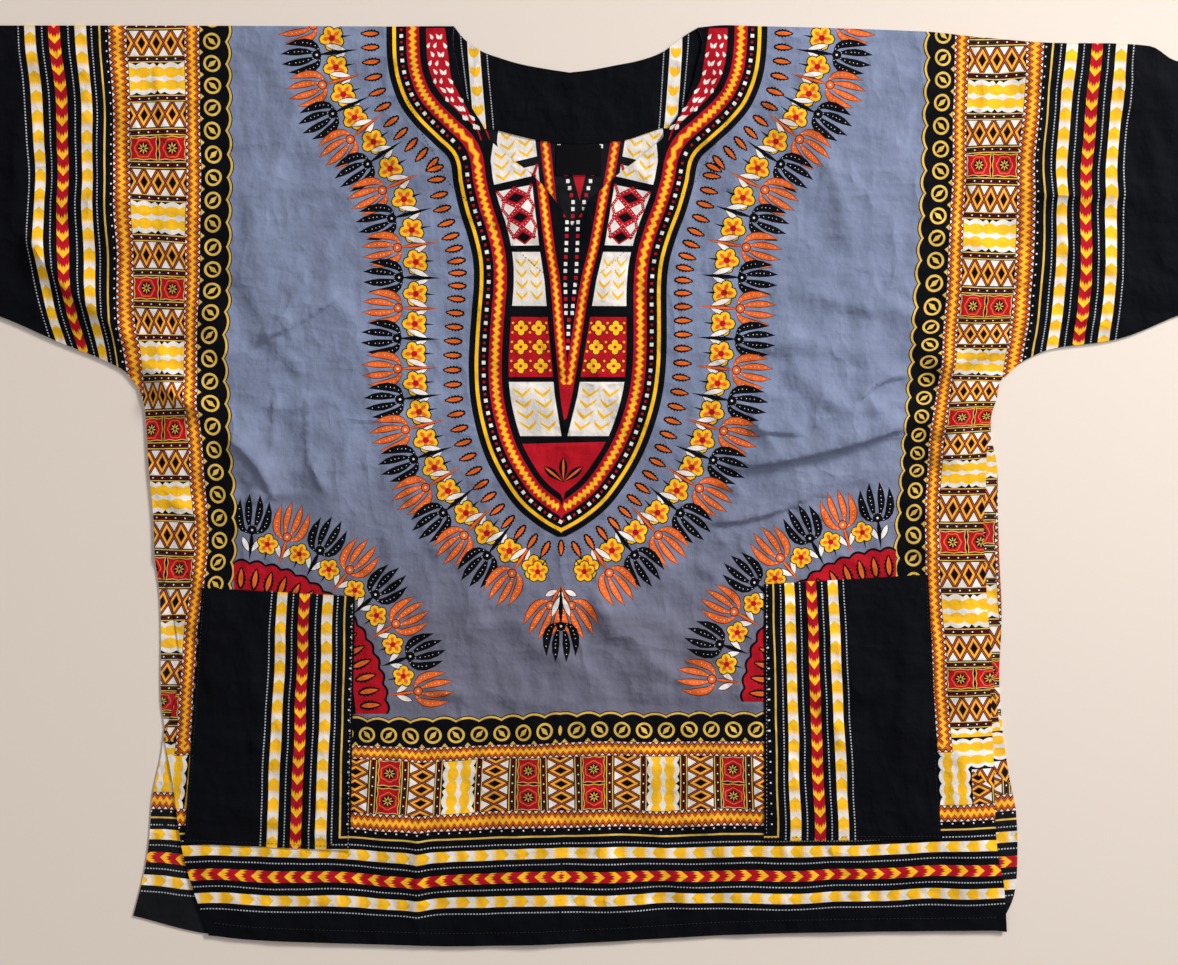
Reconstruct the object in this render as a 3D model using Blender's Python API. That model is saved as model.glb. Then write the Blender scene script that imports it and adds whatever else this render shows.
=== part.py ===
"""A dashiki shirt laid flat, front up: its cut pieces as closed walls of cloth.

Every outline is given in millimetres as the garment lies: ACROSS from the middle between the two
cuffs, positive towards the right of the view from above, and DOWN from the shoulder line towards
the hem. The origin is on the resting surface, under the middle of the garment; +Y points from hem
to shoulder and +Z up. Each piece is a wall between an under and an upper sheet. The back lies
flat, the neck facing and the label lie on it, the front lies on them with its folds raised, and
the patch pockets are made from the front's own points, moved out.
"""

import math

import bpy
from mathutils import Vector
from mathutils.geometry import delaunay_2d_cdt

MM = 0.001

# Driving sizes, in millimetres
CUFF_TO_CUFF = 1150.0
LENGTH = 765.0
CLOTH = 1.2
FACING_CLOTH = 1.0
GAP = 0.3

# Heights of the undersides above the resting surface
BACK_UNDER = 0.0
INNER_UNDER = BACK_UNDER + CLOTH + GAP
FRONT_UNDER = INNER_UNDER
OVER_FACING = FACING_CLOTH + GAP

# Over these lengths the folds fade out towards a seam, and the front sinks from over the facing
SEAM_FADE = 26.0
FACING_MARGIN = 23.0
FACING_SLOPE = 38.0

# Spacing of the points: along an outline, and inside a piece that has folds
OUTLINE_STEP = 13.0
CLOTH_STEP = 20.0
FOLD_APART = 6.0

HALF_SPAN = CUFF_TO_CUFF / 2.0

# Outlines, as rows of (across, down). Each table is one smooth edge between two corners.
SHOULDER_LEFT = [(-HALF_SPAN, 0), (-340, 0), (-92, 1)]
SHOULDER_RIGHT = [(110, 2), (134, 0), (300, 5), (339, 9), (398, 14), (486, 17), (507, 29), (HALF_SPAN, 42)]
CUFF_RIGHT = [(HALF_SPAN, 42), (HALF_SPAN, 216)]
SLEEVE_RIGHT = [(HALF_SPAN, 216), (509, 241), (461, 260), (403, 269), (379, 280), (370, 288), (361, 296)]
SIDE_RIGHT = [(361, 296), (359, 309), (354, 325), (354, 342)]
SIDE_LEFT = [(-341, 444), (-342, 410), (-346, 366), (-349, 320), (-354, 301)]
SLEEVE_LEFT = [(-354, 301), (-369, 285), (-423, 262), (-469, 242), (-HALF_SPAN, 205)]
CUFF_LEFT = [(-HALF_SPAN, 205), (-HALF_SPAN, 0)]

FRONT_NECK_LEFT = [(-92, 1), (-93, 13), (-90, 31), (-85, 51), (-77, 69), (-69, 82), (-63, 95)]
FRONT_SLIT_LEFT = [(-63, 95), (-47, 109), (-31, 121), (-21, 130), (-10, 143), (-2, 155), (6, 167)]
FRONT_SLIT_RIGHT = [(6, 167), (14, 155), (22, 144), (32, 134), (45, 123), (62, 110), (80, 95)]
FRONT_NECK_RIGHT = [(80, 95), (87, 84), (96, 71), (104, 54), (110, 32), (114, 13), (110, 2)]
FRONT_SEAM_RIGHT = [(354, 342), (350, 352), (349, 408), (350, 460), (352, 520), (355, 586), (356, 612)]
FRONT_VENT_RIGHT = [(356, 612), (358, 673), (361, 697), (364, 709), (366, 732), (367, 753)]
FRONT_HEM = [(367, 753), (357, 752), (153, 755), (0, 763), (-95, 765), (-137, 764), (-257, 760), (-296, 756)]
FRONT_VENT_LEFT = [(-296, 756), (-305, 729), (-310, 715), (-318, 685), (-322, 659), (-326, 629), (-333, 593)]
FRONT_SEAM_LEFT = [(-333, 593), (-325, 564), (-320, 536), (-323, 503), (-329, 471), (-341, 444)]

BACK_NECK_LEFT = [(-92, 1), (-84, 11), (-70, 21), (-54, 27), (-37, 32), (-16, 36), (4, 39)]
BACK_NECK_RIGHT = [(4, 39), (21, 37), (42, 33), (62, 29), (79, 23), (91, 15), (100, 8), (110, 2)]
BACK_SIDE_RIGHT = [(354, 342), (359, 365), (360, 408), (361, 441), (363, 491), (361, 543), (364, 590)]
BACK_VENT_RIGHT = [(364, 590), (370, 628), (375, 654), (376, 697), (373, 724), (363, 746)]
BACK_HEM = [(363, 746), (330, 748), (153, 751), (0, 759), (-95, 761), (-200, 759), (-296, 755), (-359, 740)]
BACK_VENT_LEFT = [(-359, 740), (-350, 704), (-346, 678), (-343, 640), (-336, 607), (-333, 583)]
BACK_SIDE_LEFT = [(-333, 583), (-336, 560), (-336, 507), (-337, 474), (-341, 444)]

FACING_END_LEFT = [(-60, 86), (-72, 85), (-86, 76), (-97, 56), (-103, 30), (-104, 2)]
FACING_END_RIGHT = [(123, 3), (124, 30), (117, 56), (107, 76), (93, 85), (80, 85)]
FACING_LOWER = [(80, 85), (66, 90), (50, 95), (29, 97), (8, 98), (-17, 96), (-37, 92), (-60, 86)]

# Corners of the straight-sided pieces, going round each from its top left
POCKET_LEFT = [(-301, 467), (-174, 474), (-178, 685), (-316, 679)]
POCKET_RIGHT = [(165, 464), (301, 456), (312, 676), (165, 677)]
LABEL = [(-7.5, 99.2), (30.0, 99.2), (30.0, 124.0), (-7.5, 124.0)]

# The largest folds of the front, ridges that fade out at both ends and at the seamed edges:
# name, start across, start down, end across, end down, half width, height, lean.
# A lean of 1 makes the side below the ridge twice as steep, and 0 leaves both sides alike.
FOLDS = [
    ("right_breast", 146, 359, 282, 324, 17, 10.0, 1.0),
    ("right_breast_upper", 150, 336, 262, 318, 19, 4.5, 0.0),
    ("right_waist", 122, 412, 215, 400, 20, 4.5, 0.4),
    ("right_underarm", 306, 288, 372, 262, 14, 8.0, 0.8),
    ("right_side", 310, 342, 356, 303, 14, 8.0, 0.6),
    ("right_side_lower", 306, 362, 352, 345, 13, 5.0, 0.4),
    ("left_underarm", -352, 283, -300, 320, 14, 7.0, 0.5),
    ("left_breast", -240, 256, -182, 231, 18, 4.0, 0.3),
    ("left_waist", -214, 362, -190, 396, 16, 4.5, 0.3),
    ("left_side", -283, 340, -248, 384, 16, 5.0, 0.4),
    ("left_sleeve", -452, 166, -368, 258, 16, 6.0, 0.4),
    ("right_sleeve", 392, 141, 478, 138, 15, 4.0, 0.2),
    ("right_cuff", 462, 66, 520, 34, 15, 4.0, 0.2),
    ("middle_lower", 20, 478, 96, 556, 24, 4.0, 0.0),
]

# Colours, roughness: blue-grey printed ground, near-black border cloth
GROUND_BLUE = (0.16, 0.19, 0.28)
BORDER_BLACK = (0.006, 0.006, 0.010)
COTTON_ROUGHNESS = 0.82


def remove_all_objects():
    """Start from an empty scene."""
    for thing in list(bpy.data.objects):
        bpy.data.objects.remove(thing, do_unlink=True)


def cotton(name, colour):
    """A plain woven cotton of one colour."""
    material = bpy.data.materials.new(name)
    material.use_nodes = True
    shader = material.node_tree.nodes["Principled BSDF"]
    shader.inputs["Base Color"].default_value = (*colour, 1.0)
    shader.inputs["Roughness"].default_value = COTTON_ROUGHNESS
    shader.inputs["Metallic"].default_value = 0.0
    return material


def smooth_edge(table, step):
    """Points at most a step apart on a smooth curve through a table's rows, without its last."""
    rows = [Vector(row) for row in table]
    points = []
    for index in range(len(rows) - 1):
        here = rows[index]
        there = rows[index + 1]
        before = rows[index - 1] if index > 0 else here
        after = rows[index + 2] if index + 2 < len(rows) else there
        span = (there - here).length
        leave = (there - before) * (span / max((there - before).length, span))
        arrive = (after - here) * (span / max((after - here).length, span))
        count = max(1, math.ceil(span / step))
        for part in range(count):
            t = part / count
            start = 2 * t**3 - 3 * t**2 + 1
            pull_out = t**3 - 2 * t**2 + t
            finish = -2 * t**3 + 3 * t**2
            pull_in = t**3 - t**2
            points.append(here * start + leave * pull_out + there * finish + arrive * pull_in)
    return points


def outline_of(*tables, step=OUTLINE_STEP):
    """One closed outline from edges that follow each other, corner to corner."""
    points = []
    for table in tables:
        points.extend(smooth_edge(table, step))
    return points


def straight_outline(corners, step=OUTLINE_STEP):
    """A closed outline with straight sides."""
    sides = []
    for index, corner in enumerate(corners):
        sides.append([corner, corners[(index + 1) % len(corners)]])
    return outline_of(*sides, step=step)


def distance_to(point, start, end):
    """How far a point is from a straight run, and how far along the run its foot lies, 0 to 1."""
    run = end - start
    along = (point - start).dot(run) / max(run.length_squared, 1e-9)
    held = min(1.0, max(0.0, along))
    return (point - start - run * held).length, along


def distance_to_outline(point, outline):
    """How far a point is from a closed outline."""
    nearest = 1e9
    for index, start in enumerate(outline):
        end = outline[(index + 1) % len(outline)]
        nearest = min(nearest, distance_to(point, start, end)[0])
    return nearest


def is_inside(point, outline):
    """Whether a point lies inside a closed outline."""
    inside = False
    for index, start in enumerate(outline):
        end = outline[(index + 1) % len(outline)]
        if (start.y > point.y) != (end.y > point.y):
            crossing = start.x + (point.y - start.y) * (end.x - start.x) / (end.y - start.y)
            if point.x < crossing:
                inside = not inside
    return inside


def ease(value):
    """A soft step from 0 to 1."""
    held = min(1.0, max(0.0, value))
    return held * held * (3.0 - 2.0 * held)


def fold_height(point):
    """How far the folds raise the front at a point, before the seams hold it down."""
    height = 0.0
    for _, x0, d0, x1, d1, half_width, peak, lean in FOLDS:
        start = Vector((x0, d0))
        end = Vector((x1, d1))
        run = end - start
        along = (point - start).dot(run) / run.length_squared
        aside = (point - start).dot(Vector((-run.y, run.x)).normalized())
        width = half_width * (1.0 - 0.5 * lean) if aside > 0.0 else half_width
        end_fade = ease((along + 0.18) / 0.36) * ease((1.18 - along) / 0.36)
        height += peak * end_fade * math.exp(-((aside / width) ** 2))
    return height


def front_outline(step=OUTLINE_STEP):
    """The front as cut: body, both sleeves and the slit neck in one piece."""
    return outline_of(
        SHOULDER_LEFT, FRONT_NECK_LEFT, FRONT_SLIT_LEFT, FRONT_SLIT_RIGHT, FRONT_NECK_RIGHT,
        SHOULDER_RIGHT, CUFF_RIGHT, SLEEVE_RIGHT, SIDE_RIGHT, FRONT_SEAM_RIGHT, FRONT_VENT_RIGHT,
        FRONT_HEM, FRONT_VENT_LEFT, FRONT_SEAM_LEFT, SIDE_LEFT, SLEEVE_LEFT, CUFF_LEFT, step=step)


def back_outline(step=OUTLINE_STEP):
    """The back as cut: body, both sleeves and the shallow back neck in one piece."""
    return outline_of(
        SHOULDER_LEFT, BACK_NECK_LEFT, BACK_NECK_RIGHT, SHOULDER_RIGHT, CUFF_RIGHT, SLEEVE_RIGHT,
        SIDE_RIGHT, BACK_SIDE_RIGHT, BACK_VENT_RIGHT, BACK_HEM, BACK_VENT_LEFT, BACK_SIDE_LEFT,
        SIDE_LEFT, SLEEVE_LEFT, CUFF_LEFT, step=step)


def facing_outline(step=OUTLINE_STEP):
    """The facing of the back neck, with its ends passing under the front."""
    return outline_of(
        [(-104, 2), (-92, 1)], BACK_NECK_LEFT, BACK_NECK_RIGHT, [(110, 2), (123, 3)],
        FACING_END_RIGHT, FACING_LOWER, FACING_END_LEFT, step=step)


class Drape:
    """How high the front's underside lies at each point: flat, over the facing, and in folds."""

    def __init__(self):
        self.facing = facing_outline()
        self.held_edges = [
            [Vector(row) for row in table]
            for table in (SHOULDER_LEFT, SHOULDER_RIGHT, SLEEVE_LEFT, SLEEVE_RIGHT, SIDE_LEFT,
                          SIDE_RIGHT, FRONT_SEAM_LEFT, FRONT_SEAM_RIGHT)]

    def seam_hold(self, point):
        """0 on a seamed edge, where the front is held down on the back, to 1 away from it."""
        nearest = 1e9
        for rows in self.held_edges:
            for start, end in zip(rows, rows[1:]):
                nearest = min(nearest, distance_to(point, start, end)[0])
        return ease(nearest / SEAM_FADE)

    def over_facing(self, point):
        """The rise that carries the front over the facing's ends."""
        if is_inside(point, self.facing):
            return OVER_FACING
        clear = distance_to_outline(point, self.facing) - FACING_MARGIN
        return OVER_FACING * (1.0 - ease(clear / FACING_SLOPE))

    def height(self, point):
        """Height of the front's underside above the resting surface."""
        return FRONT_UNDER + self.over_facing(point) + fold_height(point) * self.seam_hold(point)

    def stretch(self, point):
        """How much taller a slanting wall is than a level one of the same cloth."""
        probe = 1.0
        across = fold_height(point + Vector((probe, 0.0))) - fold_height(point - Vector((probe, 0.0)))
        down = fold_height(point + Vector((0.0, probe))) - fold_height(point - Vector((0.0, probe)))
        slope = math.hypot(across, down) / (2.0 * probe)
        return math.sqrt(1.0 + slope * slope)


def fold_points():
    """Extra points along each fold: on its ridge, on both its sides and at the foot of each."""
    points = []
    for _, x0, d0, x1, d1, half_width, _, lean in FOLDS:
        start = Vector((x0, d0))
        run = Vector((x1, d1)) - start
        side = Vector((-run.y, run.x)).normalized()
        count = max(2, math.ceil(run.length / CLOTH_STEP))
        for index in range(count + 1):
            ridge = start + run * (index / count)
            steep_width = half_width * (1.0 - 0.5 * lean)
            for aside in (-1.7 * half_width, -0.8 * half_width, 0.0, 0.8 * steep_width, 1.7 * steep_width):
                points.append(ridge + side * aside)
    return points


def inside_points(outline, step, kept_lines, extra):
    """Staggered points that fill an outline, clear of its edge, the kept lines and each other."""
    chosen = []
    clearance = step * 0.55
    lines = [outline] + kept_lines

    def is_clear(point, apart):
        if not is_inside(point, outline):
            return False
        if any(distance_to_outline(point, line) < apart for line in lines):
            return False
        return all((point - other).length > apart for other in chosen)

    for point in extra:
        if is_clear(point, FOLD_APART):
            chosen.append(point)
    left = min(point.x for point in outline)
    right = max(point.x for point in outline)
    top = min(point.y for point in outline)
    bottom = max(point.y for point in outline)
    row_step = step * math.sqrt(3.0) / 2.0
    for row in range(math.ceil((bottom - top) / row_step)):
        shift = 0.5 * step if row % 2 else 0.0
        for column in range(math.ceil((right - left) / step) + 1):
            point = Vector((left + shift + column * step, top + row * row_step))
            if is_clear(point, clearance):
                chosen.append(point)
    return chosen


def triangulate(outline, inner, kept_lines):
    """Triangles that fill an outline and keep its edge and the kept lines as edges."""
    points = list(outline)
    edges = [(index, (index + 1) % len(outline)) for index in range(len(outline))]
    for line in kept_lines:
        first = len(points)
        points.extend(line)
        edges.extend((first + index, first + (index + 1) % len(line)) for index in range(len(line)))
    points.extend(inner)
    found, _, faces, _, _, _ = delaunay_2d_cdt(points, edges, [], 0, 1e-4)
    triangles = []
    for face in faces:
        middle = sum((found[index] for index in face), Vector((0.0, 0.0))) / len(face)
        if is_inside(middle, outline):
            triangles.append(tuple(face))
    return [Vector(point) for point in found], triangles


def placed(point, height):
    """A point of the laid garment in the part's own frame, in metres."""
    return (point.x * MM, (LENGTH / 2.0 - point.y) * MM, height * MM)


def wall(name, points, triangles, under, upper, material):
    """A closed wall of cloth between two heights that are given for each point."""
    used = sorted({index for triangle in triangles for index in triangle})
    place = {old: new for new, old in enumerate(used)}
    count = len(used)
    vertices = [placed(points[old], under(points[old])) for old in used]
    vertices += [placed(points[old], upper(points[old])) for old in used]
    faces = []
    walked = {}
    for triangle in triangles:
        a, b, c = (place[index] for index in triangle)
        turn = (points[used[b]] - points[used[a]]).cross(points[used[c]] - points[used[a]])
        if turn > 0.0:
            b, c = c, b
        faces.append((a + count, b + count, c + count))
        faces.append((c, b, a))
        for start, end in ((a, b), (b, c), (c, a)):
            walked[(start, end)] = True
    for start, end in walked:
        if (end, start) not in walked:
            faces.append((start, end, end + count))
            faces.append((start, end + count, start + count))
    mesh = bpy.data.meshes.new(name)
    mesh.from_pydata(vertices, [], faces)
    mesh.update()
    mesh.materials.append(material)
    mesh.shade_smooth()
    mesh.set_sharp_from_angle(angle=math.radians(40.0))
    piece = bpy.data.objects.new(name, mesh)
    bpy.context.scene.collection.objects.link(piece)
    return piece


def flat_wall(name, outline, under, thickness, material):
    """A level wall of cloth with the given outline."""
    points, triangles = triangulate(outline, [], [])
    return wall(name, points, triangles, lambda point: under, lambda point: under + thickness, material)


def build_front_and_pockets(ground, border):
    """The front with its folds, and the two patch pockets made from its points."""
    drape = Drape()
    pockets = {"pocket_left": straight_outline(POCKET_LEFT), "pocket_right": straight_outline(POCKET_RIGHT)}
    outline = front_outline()
    inner = inside_points(outline, CLOTH_STEP, list(pockets.values()), fold_points())
    points, triangles = triangulate(outline, inner, list(pockets.values()))

    def front_top(point):
        return drape.height(point) + CLOTH * drape.stretch(point)

    def pocket_under(point):
        return front_top(point) + GAP * drape.stretch(point)

    def pocket_top(point):
        return pocket_under(point) + CLOTH * drape.stretch(point)

    wall("front_panel", points, triangles, drape.height, front_top, ground)
    for name, pocket in pockets.items():
        covered = []
        for triangle in triangles:
            middle = sum((points[index] for index in triangle), Vector((0.0, 0.0))) / 3.0
            if is_inside(middle, pocket):
                covered.append(triangle)
        wall(name, points, covered, pocket_under, pocket_top, border)


def main():
    """Build every cut piece of the shirt."""
    remove_all_objects()
    ground = cotton("printed_ground", GROUND_BLUE)
    border = cotton("black_border_cloth", BORDER_BLACK)
    flat_wall("back_panel", back_outline(), BACK_UNDER, CLOTH, ground)
    flat_wall("neck_facing", facing_outline(), INNER_UNDER, FACING_CLOTH, border)
    flat_wall("neck_label", straight_outline(LABEL), INNER_UNDER, FACING_CLOTH, border)
    build_front_and_pockets(ground, border)


main()
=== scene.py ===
"""A dashiki shirt laid flat, dressed: its cloth panels with their folds, print and sewing.

Lengths in the tables are millimetres as the garment lies: ACROSS from its middle and DOWN from the
shoulder line. Print lines are counted in steps of 0.83 mm from a corner above and left of it.
"""
import logging
import math
from dataclasses import dataclass, field
from enum import Enum
from typing import Sequence, Union

import bpy
import numpy as np
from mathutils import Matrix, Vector, kdtree, noise
from mathutils.geometry import delaunay_2d_cdt


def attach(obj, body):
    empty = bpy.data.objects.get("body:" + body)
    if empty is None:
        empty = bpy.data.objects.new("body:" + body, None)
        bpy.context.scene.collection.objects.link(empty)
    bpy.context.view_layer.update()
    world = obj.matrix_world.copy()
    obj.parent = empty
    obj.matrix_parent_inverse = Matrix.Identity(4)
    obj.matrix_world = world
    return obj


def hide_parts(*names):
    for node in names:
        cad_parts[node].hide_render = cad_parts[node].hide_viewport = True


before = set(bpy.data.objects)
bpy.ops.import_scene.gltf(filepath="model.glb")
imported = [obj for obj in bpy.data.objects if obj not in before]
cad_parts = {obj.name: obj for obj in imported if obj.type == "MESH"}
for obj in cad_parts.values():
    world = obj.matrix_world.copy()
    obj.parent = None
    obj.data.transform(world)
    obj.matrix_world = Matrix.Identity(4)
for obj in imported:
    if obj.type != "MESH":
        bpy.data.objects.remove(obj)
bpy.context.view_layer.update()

log = logging.getLogger("dashiki")
MM = 0.001
LENGTH = 765.0
STEP = 0.83
MIDDLE_STEP = 565.0
TOP_STEP = 25.0
CLOTH = 0.8
BACK_TOP = 0.85
FRONT_UNDER = 1.5
OVER_FACING = 1.3
SEAM_FADE = 26.0
Rows = list[tuple[float, float]]

# Outlines, as rows of (across, down). Each table is one smooth edge between two corners.
SHOULDER_LEFT: Rows = [(-575, 0), (-340, 0), (-92, 1)]
SHOULDER_RIGHT: Rows = [(110, 2), (134, 0), (300, 5), (339, 9), (398, 14), (486, 17), (507, 29), (575, 42)]
CUFF_RIGHT: Rows = [(575, 42), (575, 216)]
SLEEVE_RIGHT: Rows = [(575, 216), (509, 241), (461, 260), (403, 269), (379, 280), (370, 288), (361, 296)]
SIDE_RIGHT: Rows = [(361, 296), (359, 309), (354, 325), (354, 342)]
SIDE_LEFT: Rows = [(-341, 444), (-342, 410), (-346, 366), (-349, 320), (-354, 301)]
SLEEVE_LEFT: Rows = [(-354, 301), (-369, 285), (-423, 262), (-469, 242), (-575, 205)]
CUFF_LEFT: Rows = [(-575, 205), (-575, 0)]
FRONT_NECK_LEFT: Rows = [(-92, 1), (-93, 13), (-90, 31), (-85, 51), (-77, 69), (-69, 82), (-63, 95)]
FRONT_SLIT_LEFT: Rows = [(-63, 95), (-47, 109), (-31, 121), (-21, 130), (-10, 143), (-2, 155), (6, 167)]
FRONT_SLIT_RIGHT: Rows = [(6, 167), (14, 155), (22, 144), (32, 134), (45, 123), (62, 110), (80, 95)]
FRONT_NECK_RIGHT: Rows = [(80, 95), (87, 84), (96, 71), (104, 54), (110, 32), (114, 13), (110, 2)]
FRONT_SEAM_RIGHT: Rows = [(354, 342), (350, 352), (349, 408), (350, 460), (352, 520), (355, 586), (356, 612)]
FRONT_VENT_RIGHT: Rows = [(356, 612), (358, 673), (361, 697), (364, 709), (366, 732), (367, 753)]
FRONT_HEM: Rows = [(367, 753), (357, 752), (153, 755), (0, 763), (-95, 765), (-137, 764), (-257, 760),
                   (-296, 756)]
FRONT_VENT_LEFT: Rows = [(-296, 756), (-305, 729), (-310, 715), (-318, 685), (-322, 659), (-326, 629),
                         (-333, 593)]
FRONT_SEAM_LEFT: Rows = [(-333, 593), (-325, 564), (-320, 536), (-323, 503), (-329, 471), (-341, 444)]
BACK_NECK_LEFT: Rows = [(-92, 1), (-84, 11), (-70, 21), (-54, 27), (-37, 32), (-16, 36), (4, 39)]
BACK_NECK_RIGHT: Rows = [(4, 39), (21, 37), (42, 33), (62, 29), (79, 23), (91, 15), (100, 8), (110, 2)]
BACK_SIDE_RIGHT: Rows = [(354, 342), (359, 365), (360, 408), (361, 441), (363, 491), (361, 543), (364, 590)]
BACK_VENT_RIGHT: Rows = [(364, 590), (370, 628), (375, 654), (376, 697), (373, 724), (363, 746)]
BACK_HEM: Rows = [(363, 746), (330, 748), (153, 751), (0, 759), (-95, 761), (-200, 759), (-296, 755),
                  (-359, 740)]
BACK_VENT_LEFT: Rows = [(-359, 740), (-350, 704), (-346, 678), (-343, 640), (-336, 607), (-333, 583)]
BACK_SIDE_LEFT: Rows = [(-333, 583), (-336, 560), (-336, 507), (-337, 474), (-341, 444)]
FACING_END_LEFT: Rows = [(-60, 86), (-72, 85), (-86, 76), (-97, 56), (-103, 30), (-104, 2)]
FACING_END_RIGHT: Rows = [(123, 3), (124, 30), (117, 56), (107, 76), (93, 85), (80, 85)]
FACING_LOWER: Rows = [(80, 85), (66, 90), (50, 95), (29, 97), (8, 98), (-17, 96), (-37, 92), (-60, 86)]
POCKET_LEFT: Rows = [(-301, 467), (-174, 474), (-178, 685), (-316, 679)]
POCKET_RIGHT: Rows = [(165, 464), (301, 456), (312, 676), (165, 677)]
LABEL: Rows = [(-7.5, 99.2), (30.0, 99.2), (30.0, 124.0), (-7.5, 124.0)]

# The largest folds: start across, start down, end across, end down, half width, height, lean
FOLDS: list[tuple[float, ...]] = [
    (150, 336, 262, 316, 20, 3.2, 0.0), (306, 288, 372, 262, 13, 6.0, 0.8),
    (186, 290, 238, 322, 11, 3.8, 0.5), (172, 262, 246, 272, 12, 3.4, 0.5),
    (310, 342, 356, 303, 13, 6.0, 0.6), (306, 362, 352, 345, 13, 4.4, 0.4),
    (-352, 283, -300, 320, 14, 7.0, 0.5), (-240, 256, -182, 231, 18, 4.0, 0.3),
    (-214, 362, -190, 396, 13, 3.0, 0.3), (-283, 340, -248, 384, 13, 3.6, 0.4),
    (-452, 166, -368, 258, 16, 6.0, 0.4), (392, 141, 478, 138, 15, 4.0, 0.2),
    (462, 66, 520, 34, 15, 4.0, 0.2), (20, 478, 96, 556, 24, 4.0, 0.0)]

# Sharp folds, steep on one side: print steps of start and end, bow, half width of the soft side, height
PLEATS: list[tuple[float, ...]] = [
    (744, 466, 910, 424, 5, 18, 8.0), (856, 402, 905, 376, -6, 9, 4.4), (714, 522, 808, 496, 6, 11, 4.6),
    (750, 430, 800, 434, 0, 10, 3.2), (233, 442, 272, 494, -5, 10, 4.6), (311, 464, 323, 490, 1, 6, 2.4),
    (255, 343, 340, 297, 3, 11, 3.8), (274, 396, 270, 452, 0, 5, 1.3), (306, 400, 307, 462, 0, 5, 1.4),
    (991, 700, 986, 446, 0, 6, 1.2)]

# How far from a sharp fold's crest its mesh points lie, in millimetres, the steep side positive
PLEAT_OFFSETS = (-4.0, -1.2, 1.0, 2.6, 4.6)

# Finer creases pressed or pulled into the front: print steps of start and end, half width, height
CREASES: list[tuple[float, ...]] = [
    (780, 490, 890, 470, 9, 1.5), (811, 518, 882, 504, 5, 1.5),
    (760, 352, 800, 340, 9, 2.4), (1006, 376, 972, 411, 5, 2.2),
    (972, 411, 943, 434, 5, 1.6), (990, 437, 940, 455, 5, 1.8), (140, 371, 198, 412, 5, 2.2),
    (150, 350, 205, 372, 5, 1.3), (590, 610, 672, 622, 8, 1.0), (600, 648, 700, 668, 9, -1.0),
    (430, 612, 520, 600, 9, 1.0), (30, 242, 66, 288, 4, 1.8), (66, 288, 128, 336, 4, 1.6),
    (1040, 198, 1128, 195, 4, 1.5), (1104, 100, 1138, 78, 4, 1.4), (1030, 336, 1082, 341, 4, 1.3),
    (418, 826, 416, 944, 6, 1.8), (300, 90, 268, 190, 9, 1.0), (250, 180, 262, 330, 8, 0.9),
    (352, 420, 330, 540, 9, 1.1), (820, 130, 850, 260, 9, 1.1), (872, 250, 866, 390, 8, 0.9),
    (690, 560, 742, 590, 7, 1.2), (400, 470, 440, 560, 7, 1.0), (500, 640, 560, 690, 9, -0.9),
    (640, 700, 760, 690, 7, 0.9), (356, 560, 420, 592, 7, 1.1), (900, 500, 940, 520, 5, 1.3),
    (905, 545, 990, 560, 6, 1.4), (160, 500, 215, 520, 5, 1.4), (165, 600, 205, 640, 5, 1.2),
    (960, 600, 1000, 640, 6, 1.2), (950, 690, 1000, 700, 5, 1.1), (210, 800, 330, 838, 8, 1.0),
    (600, 800, 720, 830, 9, 1.0), (640, 870, 760, 900, 7, 0.9), (860, 870, 980, 890, 8, 1.1),
    (240, 880, 340, 905, 7, 1.0), (150, 60, 175, 150, 7, 1.2), (100, 140, 108, 250, 5, 1.0),
    (985, 90, 975, 190, 6, 1.1), (1060, 240, 1100, 300, 6, 1.4), (20, 120, 10, 230, 8, 1.4),
    (1150, 120, 1160, 250, 8, 1.4), (430, 690, 560, 706, 6, 0.9), (800, 640, 850, 760, 9, 1.2),
    (250, 640, 262, 780, 8, 1.2), (905, 620, 900, 780, 8, 1.1), (205, 620, 225, 760, 8, 1.0),
    (868, 412, 905, 398, 8, 1.6), (270, 470, 245, 500, 4, 1.2), (720, 482, 742, 495, 4, 1.6),
    (716, 530, 722, 545, 4, 1.8), (790, 290, 900, 318, 8, 2.0),
    (880, 300, 925, 322, 6, 1.8), (236, 500, 300, 494, 5, 1.8), (268, 410, 330, 398, 7, 1.5),
    (262, 330, 300, 372, 7, 1.6), (590, 585, 612, 640, 7, 1.3), (528, 640, 600, 682, 8, 1.4),
    (388, 545, 402, 610, 6, 1.3), (640, 655, 700, 690, 7, 1.3)]

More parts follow.
